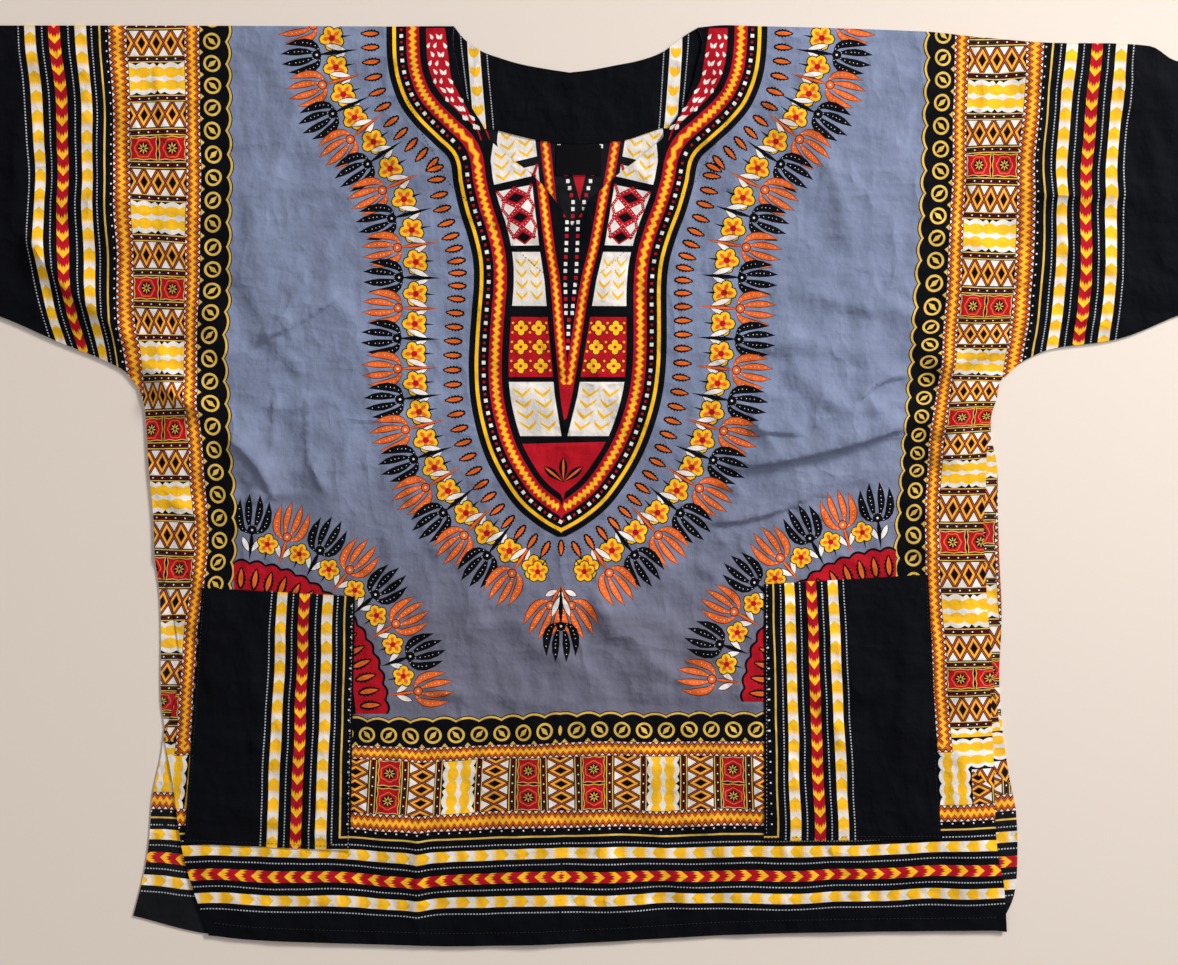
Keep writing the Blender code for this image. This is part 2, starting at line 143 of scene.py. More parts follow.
# Rows of print lines: down, then where each line of PRINT_LINES crosses that row, all in print steps
PRINT_LINES = (-464.0, -434.0, -396.5, -381.5, -320.0, -288.0, 0.0, 288.0, 320.0, 381.5, 396.5, 434.0, 464.0)
PRINT_ROWS: list[tuple[float, ...]] = [
    (25, 18, 53, 99, 117, 191, 230, 577, 925, 962.5, 1037.5, 1054.5, 1100, 1138),
    (97, 25, 60, 103.5, 120.5, 193, 231, 576, 925, 961, 1032.5, 1048, 1093, 1129),
    (170, 29, 61, 105.5, 123, 193, 232, 574, 921, 958.5, 1026, 1043, 1087, 1122.5),
    (242, 29, 62, 107, 125, 192.5, 231, 572, 917.5, 956, 1023.5, 1043, 1085, 1122.5),
    (314, 43, 72, 111, 126.5, 191.5, 229, 569, 912, 951.5, 1021.3, 1039, 1082.7, 1119.4),
    (386, 60, 88, 118, 137, 190, 228, 566.5, 907, 944, 1010, 1030, 1075, 1111),
    (459, 28, 64, 106, 124, 197.5, 233, 563.5, 901, 934, 1008, 1026, 1071, 1107),
    (555, 30, 66, 110, 128, 201, 235.5, 560.5, 894.5, 931.5, 1006, 1024, 1069, 1105),
    (651, 20, 56, 98, 116, 189.5, 225, 560.5, 900, 938.5, 1012, 1030, 1075, 1111),
    (748, 12, 48, 91, 109, 182, 219, 561, 904, 943, 1017, 1035, 1080, 1116),
    (844, 4, 40, 83, 101, 174, 212, 561, 908, 948, 1022, 1040, 1085, 1121)]
HEM_TOP = 572.7
HEM_SCALE = 0.93
HEM_DIP = ((-40, 180, 210, 360, 400, 418, 436, 500, 560, 780, 900, 1000, 1250),
           (-2, -2, -3.3, 1.2, 3.0, 5.0, 3.2, 0.0, -1.5, -2.5, -5.5, -8.0, -8.0))

# The line that the flowers' heads follow, in the same terms as the neck band's edge
FLOWER_HALF: Rows = [(263, 10), (259, 40), (252, 80), (237, 118), (211, 152), (189, 188), (176, 225), (169, 264),
                     (168, 310), (167, 360), (162, 405), (153, 440), (138, 480), (117, 510), (94, 534), (69, 555),
                     (40, 575), (16, 590)]

# The outer edge of the neck band, in print steps to the left of the print's axis, and down
YOKE_HALF: Rows = [(191, 0), (190.5, 40), (188, 68), (183, 88), (174, 108), (159, 127), (140, 145),
                   (125, 160), (120, 185), (113, 212), (104, 238), (98, 262), (96.5, 285), (97.5, 312),
                   (98.5, 340), (98.5, 368), (96, 396), (89.5, 425), (79, 455), (65, 481), (46, 507),
                   (23, 526), (0, 539)]
BACK_HEM_DIP = ((100, 165, 208, 320, 900, 985, 1020), (21, 17, 11, 0, 0, 6, 9))
STRIP_HALF: Rows = [(47, 118), (44, 140), (42, 170), (38, 200), (31, 245), (24, 280), (16.5, 340),
                    (9.5, 395), (0, 441)]
BACK_STRIP_HALF: Rows = [(48, 118), (45, 150), (42, 175), (38.5, 200), (32, 245), (24, 280), (16.5, 340),
                         (9.5, 395), (0, 441)]
FACING_STRIPS = (((473.3, 24), (473.3, 45), (479, 118), (481, 142)),
                 ((676, 24), (676, 50), (671.5, 115), (669, 140)))
FACING_DOTS = (((460, 24), (461, 43), (468, 100), (474, 136)), ((486, 26), (487, 57), (492.5, 118), (494, 140)),
               ((666, 24), (664, 52), (660, 118), (658, 138)), ((689, 24), (688, 48), (683, 103), (679, 128)))


def linear(red: int, green: int, blue: int) -> tuple[float, float, float]:
    """A screen colour as linear light.

    Args:
        red: Red, 0 to 255.
        green: Green, 0 to 255.
        blue: Blue, 0 to 255.

    Returns:
        The three linear values.
    """
    parts = [value / 255.0 for value in (red, green, blue)]
    return tuple(((part + 0.055) / 1.055) ** 2.4 if part > 0.04045 else part / 12.92 for part in parts)


class Ink(Enum):
    """The colours of the printed cotton."""

    GROUND = linear(121, 130, 155)
    # Painted shade: a darker copy of the ground colour, for the cloth towards the hem where less light falls.
    GROUND_SHADED = linear(106, 105, 121)
    BLACK = linear(6, 7, 12)
    GOLD = linear(244, 184, 34)
    APRICOT = linear(238, 168, 56)
    OLD_GOLD = linear(214, 174, 80)
    ORANGE = linear(222, 100, 38)
    RED = linear(172, 18, 32)
    MAROON = linear(58, 14, 14)
    BRICK = linear(88, 20, 22)
    AMBER = linear(196, 92, 20)
    WHITE = linear(228, 220, 212)
    GREY = linear(176, 178, 182)


class Pattern(Enum):
    """Which part of the print a finish carries."""

    GROUND = "ground"
    BORDER = "border"
    STRIPES = "stripes"
    PLAIN = "plain"


def at(across_step: float, down_step: float) -> tuple[float, float]:
    """A place given in print steps, as millimetres across and down."""
    return ((across_step - MIDDLE_STEP) * STEP, (down_step - TOP_STEP) * STEP)


def steps(rows: Sequence[tuple[float, float]]) -> np.ndarray:
    """Rows of print steps as millimetres across and down."""
    return np.array([at(*row) for row in rows])


def ease(value: np.ndarray) -> np.ndarray:
    """A soft step from 0 to 1."""
    held = np.clip(value, 0.0, 1.0)
    return held * held * (3.0 - 2.0 * held)


def smooth_edge(table: Sequence[tuple[float, float]], step: float) -> np.ndarray:
    """A smooth curve through a table's rows.

    Args:
        table: The rows.
        step: The largest distance between two points.

    Returns:
        The curve's points, without the last row.
    """
    rows = np.array(table, dtype=float)
    points = []
    for index in range(len(rows) - 1):
        here, there = rows[index], rows[index + 1]
        before = rows[index - 1] if index > 0 else here
        after = rows[index + 2] if index + 2 < len(rows) else there
        span = np.linalg.norm(there - here)
        leave = (there - before) * (span / max(np.linalg.norm(there - before), span))
        arrive = (after - here) * (span / max(np.linalg.norm(after - here), span))
        count = max(1, math.ceil(span / step))
        for part in range(count):
            t = part / count
            points.append(here * (2 * t**3 - 3 * t**2 + 1) + leave * (t**3 - 2 * t**2 + t)
                          + there * (3 * t**2 - 2 * t**3) + arrive * (t**3 - t**2))
    return np.array(points)


def joined(tables: Sequence[Rows], step: float) -> np.ndarray:
    """One closed outline from edges that follow each other."""
    return np.concatenate([smooth_edge(table, step) for table in tables])


def closed(corners: Rows, step: float) -> np.ndarray:
    """A closed outline with straight sides."""
    edges = [[corner, corners[(index + 1) % len(corners)]] for index, corner in enumerate(corners)]
    return joined(edges, step)


def inside(points: np.ndarray, outline: np.ndarray) -> np.ndarray:
    """Which points lie inside a closed outline.

    Args:
        points: The points, one a row.
        outline: The outline's points in order.

    Returns:
        True or False for each point.
    """
    found = np.zeros(len(points), dtype=bool)
    x, y = points[:, 0], points[:, 1]
    for (x0, y0), (x1, y1) in zip(outline, np.roll(outline, -1, axis=0)):
        if y0 == y1:
            continue
        crosses = (y0 > y) != (y1 > y)
        found ^= crosses & (x < x0 + (y - y0) * (x1 - x0) / (y1 - y0))
    return found


def distance(points: np.ndarray, line: np.ndarray, ring: bool = False) -> np.ndarray:
    """How far points are from a line.

    Args:
        points: The points, one a row.
        line: The line's points in order.
        ring: Whether the line's end joins its start.

    Returns:
        The distance of each point.
    """
    ends = np.roll(line, -1, axis=0) if ring else line[1:]
    dense = [line[-1:]]
    for start, end in zip(line, ends):
        count = max(1, math.ceil(float(np.linalg.norm(end - start)) / 1.5))
        dense.append(start + (end - start) * (np.arange(count) / count)[:, None])
    spots = np.concatenate(dense)
    tree = kdtree.KDTree(len(spots))
    for index, (x, y) in enumerate(spots):
        tree.insert((x, y, 0.0), index)
    tree.balance()
    return np.array([tree.find((x, y, 0.0))[2] for x, y in points])


def field_noise(points: np.ndarray, size: float, seed: float) -> np.ndarray:
    """Smooth noise over the laid cloth.

    Args:
        points: The points, one a row.
        size: The width of its waves, in millimetres.
        seed: Where in the noise it is read.

    Returns:
        A value of about -0.5 to 0.5 for each point.
    """
    return np.array([noise.noise(Vector((x / size, y / size, seed))) for x, y in points])


class ClothMap:
    """Finds which place of the flat, printed cloth lies at each place of the garment."""

    def __init__(self) -> None:
        """Reads the rows of print lines, with one far line added at each end."""
        self.downs = np.array([row[0] for row in PRINT_ROWS])
        self.flats = np.array([PRINT_LINES[0] - 300 * STEP, *PRINT_LINES, PRINT_LINES[-1] + 300 * STEP])
        self.rows = [np.array([row[1] - 300, *row[1:], row[-1] + 300]) for row in PRINT_ROWS]

    def across(self, points: np.ndarray) -> np.ndarray:
        """How far across the flat cloth each point lies, from the print's axis.

        Args:
            points: The points, across and down in millimetres.

        Returns:
            Millimetres, one for each point.
        """
        x = points[:, 0] / STEP + MIDDLE_STEP
        y = points[:, 1] / STEP + TOP_STEP
        by_row = np.array([np.interp(x, row, self.flats) for row in self.rows])
        place = np.clip(np.interp(y, self.downs, np.arange(len(self.downs))), 0, len(self.downs) - 1.001)
        first = place.astype(int)
        t = place - first
        last = len(self.downs) - 1
        every = np.arange(len(points))
        a, b, c, d = (by_row[np.clip(first + shift, 0, last), every] for shift in (-1, 0, 1, 2))
        return 0.5 * (2 * b + (c - a) * t + (2 * a - 5 * b + 4 * c - d) * t**2 + (3 * b - a - 3 * c + d) * t**3)

    def flat(self, points: np.ndarray) -> np.ndarray:
        """The place on the flat cloth of each point.

        Args:
            points: Points of the laid garment.

        Returns:
            Flat millimetres across and down, one row a point.
        """
        dip = np.interp(points[:, 0] / STEP + MIDDLE_STEP, *HEM_DIP) * STEP
        down = points[:, 1] - dip * ease((points[:, 1] - 500.0) / 90.0)
        wave = field_noise(points, 55.0, 3.1) * 2.2
        return np.stack([self.across(points) + field_noise(points, 48.0, 7.7) * 1.8, down + wave], axis=1)

    @staticmethod
    def border(flat: np.ndarray) -> np.ndarray:
        """How far each flat place lies outside the scalloped edge."""
        return np.maximum(np.abs(flat[:, 0]) - 288.0, (flat[:, 1] - HEM_TOP) / HEM_SCALE)


class Drape:
    """How high the front lies above the resting surface: flat, over the facing and in folds."""

    def __init__(self, facing: np.ndarray, edge: np.ndarray) -> None:
        """Keeps the edges that hold the front down.

        Args:
            facing: Outline of the neck facing.
            edge: Outline of the front.
        """
        self.facing = facing
        self.edge = edge
        self.pockets = [closed(corners, 20.0) for corners in (POCKET_LEFT, POCKET_RIGHT)]
        self.seams = [smooth_edge(table, 30.0) for table in (
            SHOULDER_LEFT, SHOULDER_RIGHT, SLEEVE_LEFT, SLEEVE_RIGHT, SIDE_LEFT, SIDE_RIGHT,
            FRONT_SEAM_LEFT, FRONT_SEAM_RIGHT)]

    @staticmethod
    def ridge(points: np.ndarray, row: Sequence[float], lean: float, bow: float = 0.0) -> np.ndarray:
        """The height that one fold or crease adds at each point.

        Args:
            points: The points.
            row: Start and end across and down, half width and height.
            lean: How much steeper the lower side is, from 0 to 1.5.
            bow: How far the middle of the line is pulled to the lower side.

        Returns:
            The height at each point.
        """
        x0, d0, x1, d1, half_width, peak = row
        run = np.array([x1 - x0, d1 - d0], dtype=float)
        length = float(np.hypot(*run))
        from_start = points - (x0, d0)
        along = (from_start @ run) / length**2
        aside = (from_start @ np.array([-run[1], run[0]])) / length
        aside = aside - 4.0 * bow * np.clip(along * (1.0 - along), 0.0, None)
        width = np.where(aside > 0.0, half_width * (1.0 - 0.64 * lean), half_width)
        fade = ease((along + 0.18) / 0.36) * ease((1.18 - along) / 0.36)
        return peak * fade * np.exp(-((aside / width) ** 2))

    def folds(self, points: np.ndarray) -> np.ndarray:
        """The height of all folds, creases and swells at each point.

        Args:
            points: The points, across and down in millimetres.

        Returns:
            Millimetres, one for each point.
        """
        height = sum(self.ridge(points, row[:6], row[6]) for row in FOLDS)
        for x0, d0, x1, d1, width, peak in CREASES:
            row = (*at(x0, d0), *at(x1, d1), width * STEP * 1.15, peak * 1.5)
            height = height + self.ridge(points, row, 0.45)
        for x0, d0, x1, d1, bow, width, peak in PLEATS:
            height = height + self.ridge(points, (*at(x0, d0), *at(x1, d1), width, peak), 1.26, bow * STEP)
        height = height + 3.2 * np.abs(field_noise(points, 120.0, 1.3))
        height = height + 2.8 * np.abs(field_noise(points, 57.0, 5.2))
        stretched = points * (1.0, 0.5)
        fine = 1.6 * np.abs(field_noise(stretched, 27.0, 9.4)) + self.wrinkles(points)
        for outline in self.pockets:
            fine = np.where(inside(points, outline), 0.3 * fine, fine)
        return height + fine

    @staticmethod
    def pleat_points() -> np.ndarray:
        """Points on both sides of each sharp fold, which the mesh needs to show it."""
        rows = []
        for x0, d0, x1, d1, bow, _, _ in PLEATS:
            start, end = np.array(at(x0, d0)), np.array(at(x1, d1))
            run = end - start
            length = float(np.hypot(*run))
            aside = np.array([-run[1], run[0]]) / length
            for along in np.arange(-0.08, 1.08, 4.0 / length):
                bowed = 4.0 * bow * STEP * max(along * (1.0 - along), 0.0)
                rows.extend(start + run * along + aside * (bowed + off) for off in PLEAT_OFFSETS)
        return np.array(rows)

    @staticmethod
    def wrinkles(points: np.ndarray) -> np.ndarray:
        """The height of small creases that wander unevenly over the cloth.

        Args:
            points: The points, across and down in millimetres.

        Returns:
            Millimetres, one for each point.
        """
        height = np.zeros(len(points))
        for turn, size, reach, peak, seed in (
                (0.4, 50.0, 0.2, 1.25, 11.0), (-0.8, 44.0, 0.22, 1.15, 23.0), (1.1, 47.0, 0.2, 1.1, 37.0)):
            across = points[:, 0] * math.cos(turn) + points[:, 1] * math.sin(turn)
            down = points[:, 1] * math.cos(turn) - points[:, 0] * math.sin(turn)
            line = np.abs(field_noise(np.stack([across * 0.45, down], axis=1), size, seed))
            where = ease(field_noise(points, 120.0, seed + 5.0) * 3.0 + 0.35)
            height = height + peak * where * np.clip(1.0 - line / reach, 0.0, 1.0) ** 1.5
        return height

    def underside(self, points: np.ndarray) -> np.ndarray:
        """Height of the front's underside above the resting surface.

        Args:
            points: Points of the laid garment.

        Returns:
            Millimetres, one for each point.
        """
        seam = np.min([distance(points, line) for line in self.seams], axis=0)
        rim = distance(points, self.edge, ring=True)
        clear = distance(points, self.facing, ring=True)
        over = np.where(inside(points, self.facing), 1.0, 1.0 - ease((clear - 12.0) / 30.0))
        low = BACK_TOP + 0.08 + (FRONT_UNDER - BACK_TOP) * ease(rim / 14.0)
        free = 0.35 + 0.65 * ease(rim / 30.0)
        return low + OVER_FACING * over + np.maximum(self.folds(points), 0.0) * ease(seam / SEAM_FADE) * free


Value = Union["Wire", float]


class Wire:
    """A number on its way through a node tree, written with ordinary arithmetic."""

    def __init__(self, sketch: "Sketch", socket: bpy.types.NodeSocket) -> None:
        """Keeps the tree and the socket the number comes out of."""
        self.sketch = sketch
        self.socket = socket

    def __add__(self, other: Value) -> "Wire":
        """The sum."""
        return self.sketch.math("ADD", self, other)

    def __sub__(self, other: Value) -> "Wire":
        """The difference."""
        return self.sketch.math("SUBTRACT", self, other)

    def __mul__(self, other: Value) -> "Wire":
        """The product."""
        return self.sketch.math("MULTIPLY", self, other)

    def __truediv__(self, other: Value) -> "Wire":
        """The quotient."""
        return self.sketch.math("DIVIDE", self, other)

    def __lt__(self, other: Value) -> "Wire":
        """1 where it is less."""
        return self.sketch.math("LESS_THAN", self, other)

    def __gt__(self, other: Value) -> "Wire":
        """1 where it is more."""
        return self.sketch.math("GREATER_THAN", self, other)

    def __abs__(self) -> "Wire":
        """Its size without its sign."""
        return self.sketch.math("ABSOLUTE", self)

    def part(self) -> "Wire":
        """What is left after whole numbers."""
        return self.sketch.math("FRACT", self)

    def least(self, other: Value) -> "Wire":
        """The smaller of two."""
        return self.sketch.math("MINIMUM", self, other)

    def most(self, other: Value) -> "Wire":
        """The larger of two."""
        return self.sketch.math("MAXIMUM", self, other)

    def root(self) -> "Wire":
        """Its square root."""
        return self.sketch.math("SQRT", self)

    def saw(self, pitch: float) -> "Wire":
        """0 at whole pitches and 1 midway between them."""
        return abs((self / pitch + 0.5).part() - 0.5) * 2.0


class Sketch:
    """Adds nodes to a tree."""

    def __init__(self, tree: bpy.types.NodeTree) -> None:
        """Keeps the tree."""
        self.tree = tree

    def feed(self, slot: bpy.types.NodeSocket, value: object) -> None:
        """Links a wire or a socket to an input, or sets its value.

        Args:
            slot: The input.
            value: A wire, a socket or a plain value.
        """
        if isinstance(value, Wire):
            self.tree.links.new(value.socket, slot)
        elif isinstance(value, bpy.types.NodeSocket):
            self.tree.links.new(value, slot)
        else:
            slot.default_value = value

    def math(self, operation: str, *values: Value) -> Wire:
        """One step of arithmetic.

        Args:
            operation: Blender's name for it.
            *values: What it works on.

        Returns:
            The result.
        """
        node = self.tree.nodes.new("ShaderNodeMath")
        node.operation = operation
        for slot, value in zip(node.inputs, values):
            self.feed(slot, value)
        return Wire(self, node.outputs[0])

    def paint(self, under: object, where: Value, over: object) -> bpy.types.NodeSocket:
        """Lays one colour over another.

        Args:
            under: The colour below, a socket or an ink.
            where: 1 where the upper colour covers it.
            over: The upper colour, a socket or an ink.

        Returns:
            The colour's socket.
        """
        node = self.tree.nodes.new("ShaderNodeMix")
        node.data_type = "RGBA"
        self.feed(node.inputs[0], where)
        self.feed(node.inputs[6], (*under.value, 1.0) if isinstance(under, Ink) else under)
        self.feed(node.inputs[7], (*over.value, 1.0) if isinstance(over, Ink) else over)
        return node.outputs[2]

    def use(self, group: bpy.types.NodeTree, **given: object) -> bpy.types.Node:
        """Adds a node group and feeds its named inputs.

        Args:
            group: The group.
            **given: What each input gets, with low lines for spaces in its name.

        Returns:
            The group's node.
        """
        node = self.tree.nodes.new("ShaderNodeGroup")
        node.node_tree = group
        for name, value in given.items():
            self.feed(node.inputs[name.replace("_", " ")], value)
        return node


def begin_group(name: str, inputs: dict[str, str], outputs: dict[str, str]) -> tuple[Sketch, dict, bpy.types.Node]:
    """Starts a shader node group.

    Args:
        name: Its name.
        inputs: Socket kind by input name.
        outputs: Socket kind by output name.

    Returns:
        Its sketch, its inputs as wires or sockets, and its output node.
    """
    tree = bpy.data.node_groups.new(name, "ShaderNodeTree")
    for label, kind in inputs.items():
        tree.interface.new_socket(label, in_out="INPUT", socket_type=f"NodeSocket{kind}")
    for label, kind in outputs.items():
        tree.interface.new_socket(label, in_out="OUTPUT", socket_type=f"NodeSocket{kind}")
    sketch = Sketch(tree)
    entry = tree.nodes.new("NodeGroupInput")
    given = {label: Wire(sketch, entry.outputs[label]) for label in inputs}
    return sketch, given, tree.nodes.new("NodeGroupOutput")


class PrintWorks:
    """The repeating parts of the print, each a node group built once."""

    def __init__(self) -> None:
        """Builds every group."""
        self.place = self.build_place()
        self.scallop = self.build_scallop()
        self.lines = self.build_lines()
        self.border = self.build_border()
        self.stripes = self.build_stripes()
        self.cotton = self.build_cotton()

    @staticmethod
    def build_place() -> bpy.types.NodeTree:
        """Turns a flat place into a distance out from the scalloped edge and one along the border."""
        sketch, given, out = begin_group(
            "place_on_cloth", {"Flat": "Vector"}, {"Out": "Float", "Along": "Float", "Corner": "Float"})
        split = sketch.tree.nodes.new("ShaderNodeSeparateXYZ")
        sketch.feed(split.inputs[0], given["Flat"])
        across = Wire(sketch, split.outputs[0]) * 1000.0
        down = Wire(sketch, split.outputs[1]) * 1000.0
        wide = abs(across)
        side = wide - 288.0
        hem = (down - HEM_TOP) / HEM_SCALE
        on_hem = hem > side
        taken_up = ((down - 240.0) * 0.27).most(0.0).least(36.0)
        turned = (across > 364.5) * (down > 345.0) * 7.5
        by_side = down - 4.2 + (across > 0.0) * (taken_up - 14.0) + turned
        sketch.feed(out.inputs["Out"], side.most(hem))
        sketch.feed(out.inputs["Corner"], side.least(hem))
        sketch.feed(out.inputs["Along"], by_side + on_hem * (wide + 71.4 - by_side))
        return sketch.tree

    @staticmethod
    def build_scallop() -> bpy.types.NodeTree:
        """Ground cloth up to the scalloped gold edge, darkened towards the hem by painted shade, and black beyond it.
        """
        sketch, given, out = begin_group("scalloped_edge", {"Out": "Float", "Along": "Float"}, {"Color": "Color"})
        split = sketch.tree.nodes.new("ShaderNodeSeparateXYZ")
        sketch.feed(split.inputs[0], sketch.tree.nodes.new("ShaderNodeTexCoord").outputs["Object"])
        # Painted shade: the ground blends to its darker shaded copy between about 320 and 510 mm down, and stays
        # shaded below that.
        height = (Wire(sketch, split.outputs[1]) * 5.5 + 0.68).most(0.0).least(1.0)
        lobe = given["Along"].saw(18.8)
        inset = given["Out"] - 2.4 + (lobe * lobe * -1.0 + 1.0) * 3.1
        color = sketch.paint(Ink.GROUND_SHADED, height, Ink.GROUND)
        color = sketch.paint(color, inset > -0.9, Ink.BLACK)
        color = sketch.paint(color, inset > 0.0, Ink.OLD_GOLD)
        sketch.feed(out.inputs["Color"], sketch.paint(color, inset > 1.9, Ink.BLACK))
        return sketch.tree

    @staticmethod
    def build_lines() -> bpy.types.NodeTree:
        """The sparse dots and the thin gold line between border and stripes, over a given colour."""
        sketch, given, out = begin_group(
            "thin_lines", {"Under": "Color", "Out": "Float", "Along": "Float"}, {"Color": "Color"})
        away = abs(given["Out"] - 103.0)
        off = given["Along"].saw(8.6) * 4.3
        color = sketch.paint(given["Under"], (away * away + off * off) < 0.5, Ink.WHITE)
        sketch.feed(out.inputs["Color"], sketch.paint(color, abs(given["Out"] - 108.5) < 0.8, Ink.OLD_GOLD))
        return sketch.tree

    def build_border(self) -> bpy.types.NodeTree:
        """The border between the scalloped edge and the stripes: rings, zigzags and blocks."""
        sketch, given, out = begin_group(
            "border_print", {"Out": "Float", "Along": "Float", "Corner": "Float"}, {"Color": "Color"})
        outward, along = given["Out"], given["Along"]
        color = sketch.use(self.scallop, Out=outward, Along=along).outputs[0]
        color = self.rings(sketch, color, outward, along)
        blocks = self.blocks(sketch, outward, along)
        mitre = given["Corner"] - 28.0
        bend = abs(mitre - 12.0)
        wave = outward.saw(12.05)
        blocks = sketch.paint(blocks, (mitre > -2.6) * (bend < 14.6), Ink.BLACK)
        blocks = sketch.paint(blocks, bend < (wave * wave * -2.2 + 13.4), Ink.WHITE)
        blocks = sketch.paint(blocks, abs(bend - 5.8) < (wave * wave * -1.9 + 4.2), Ink.GOLD)
        color = sketch.paint(color, abs(outward - 61.9) < 24.6, blocks)
        color = self.zigzag(sketch, color, outward, along, 32.0, 5.9)
        color = self.zigzag(sketch, color, outward, along, 93.5, 7.3)
        sketch.feed(out.inputs["Color"], sketch.use(self.lines, Under=color, Out=outward, Along=along).outputs[0])
        return sketch.tree

    @staticmethod
    def rings(sketch: Sketch, color: object, outward: Wire, along: Wire) -> bpy.types.NodeSocket:
        """Gold rings with a small leaf in each, and gold points between them.

        Args:
            sketch: The tree to draw in.
            color: The colour below.
            outward: Distance out from the scalloped edge.
            along: Distance along the border.

        Returns:
            The colour's socket.
        """
        turn = (along / 18.8).part() - 0.5
        across = outward - 15.4
        down = turn * 18.8
        radius = (across * across + down * down).root()
        color = sketch.paint(color, abs(radius - 6.1) < 1.0, Ink.OLD_GOLD)
        flip = ((along / 37.6).part() > 0.5) * 2.0 - 1.0
        lean_one = across * 0.75 + down * flip * 0.66
        lean_two = across * -0.66 + down * flip * 0.75
        leaf = (abs(lean_one) / 4.9 + abs(lean_two) / 2.1) < 1.0
        color = sketch.paint(color, leaf, Ink.OLD_GOLD)
        point = (abs(down) * -1.0 + 9.4) < (outward - 22.4) * 0.85
        return sketch.paint(color, point * (outward < 25.9) * (outward > 22.4), Ink.OLD_GOLD)

    @staticmethod
    def zigzag(sketch: Sketch, color: object, outward: Wire, along: Wire, centre: float,
               half: float) -> bpy.types.NodeSocket:
        """A braid of gold and orange zigzags edged with white points.

        Args:
            sketch: The tree to draw in.
            color: The colour below.
            outward: Distance out from the scalloped edge.
            along: Distance along the border.
            centre: Where the braid's middle runs.
            half: Half its width.

        Returns:
            The colour's socket.
        """
        side = outward - centre
        swing = (along.saw(5.3) - 0.5) * (half * 0.5)
        away = abs(side - swing)
        color = sketch.paint(color, abs(side) < half + 0.6, Ink.MAROON)
        color = sketch.paint(color, (away > half * 0.95) * (abs(side) < half + 0.1), Ink.WHITE)
        color = sketch.paint(color, away < half * 0.8, Ink.BRICK)
        color = sketch.paint(color, away < half * 0.7, Ink.AMBER)
        color = sketch.paint(color, away < half * 0.48, Ink.MAROON)
        color = sketch.paint(color, away < half * 0.4, Ink.ORANGE)
        color = sketch.paint(color, away < half * 0.3, Ink.APRICOT)
        return sketch.paint(color, away < half * 0.16, Ink.GOLD)

    @staticmethod
    def blocks(sketch: Sketch, outward: Wire, along: Wire) -> bpy.types.NodeSocket:
        """The blocks between the zigzags: diamonds, yellow cloud rows and rosettes on red.

        Args:
            sketch: The tree to draw in.
            outward: Distance out from the scalloped edge.
            along: Distance along the border.

        Returns:
            The colour's socket.
        """
        turn = (along / 116.0).part() * 116.0
        inner = outward - 37.8
        quarter = inner.saw(12.05)
        near = [abs(turn - middle) for middle in (23.7, 57.3, 85.9, 112.0)]
        seam = near[0].least(near[1]).least(near[2]).least(near[3])
        off = inner.saw(8.0) * 4.0
        spot = (seam * seam + off * off) < 0.46
        color = sketch.paint(Ink.BLACK, (seam < 1.25) * (inner.saw(8.0) > 0.32), Ink.BRICK)
        color = sketch.paint(color, (seam < 0.5) * (inner.saw(8.0) > 0.45), Ink.BLACK)
        color = sketch.paint(color, spot, Ink.WHITE)
        color = sketch.paint(color, abs(seam - 2.5) < 0.45, Ink.OLD_GOLD)
        high = abs(turn - 10.4).least(abs(turn - 71.4))
        diamond = high < 10.6
        rhomb = quarter + high / 10.6
        for limit, ink in ((9.0, Ink.WHITE), (1.32, Ink.MAROON), (1.14, Ink.ORANGE), (1.06, Ink.MAROON),
                           (0.88, Ink.APRICOT), (0.56, Ink.AMBER), (0.5, Ink.MAROON), (0.42, Ink.BLACK)):
            color = sketch.paint(color, diamond * (rhomb < limit), ink)
        cloud = abs(turn - 40.3)
        wave = inner.saw(12.05)
        notch = (abs(inner - 24.1) * -1.0 + 2.6).most(0.0) * 1.3
        color = sketch.paint(color, cloud < (wave * wave * -2.2 + 13.7 - notch), Ink.WHITE)
        lump = inner.saw(12.05)
        blob = abs(cloud - 5.9 + inner.saw(24.1) * 0.7) < (lump * lump * -2.1 + 4.5)
        color = sketch.paint(color, blob, Ink.GOLD)
        return PrintWorks.rosettes(sketch, color, turn - 98.8, inner)

    @staticmethod
    def rosettes(sketch: Sketch, color: object, down: Wire, inner: Wire) -> bpy.types.NodeSocket:
        """Two red panels, each with a lobed ring round an eight-petalled flower.

        Args:
            sketch: The tree to draw in.
            color: The colour below.
            down: Distance from the panels' middle along the border.
            inner: Distance across the block.

        Returns:
            The colour's socket.
        """
        side = ((inner / 24.1).part() - 0.5) * 24.1
        wide = abs(side) + down.saw(9.4) * 0.9 - 11.7
        frame_edge = wide.most(abs(down) + side.saw(11.8) * 0.9 - 9.6)
        color = sketch.paint(color, frame_edge < 0.0, Ink.OLD_GOLD)
        color = sketch.paint(color, frame_edge < -0.75, Ink.RED)
        radius = (side * side + down * down).root()
        angle = sketch.math("ARCTAN2", down, side)
        lobes = sketch.math("COSINE", angle * 6.0)
        petals = sketch.math("COSINE", angle * 8.0)
        panel = frame_edge < 0.0
        ring = radius - lobes * 0.45
        color = sketch.paint(color, panel * (ring < 7.5), Ink.ORANGE)
        color = sketch.paint(color, panel * (ring < 6.6), Ink.RED)
        color = sketch.paint(color, panel * (radius < 4.9), Ink.BLACK)
        color = sketch.paint(color, panel * (radius < (petals * 1.9 + 2.4)), Ink.OLD_GOLD)
        return sketch.paint(color, panel * (radius < 1.1), Ink.BLACK)

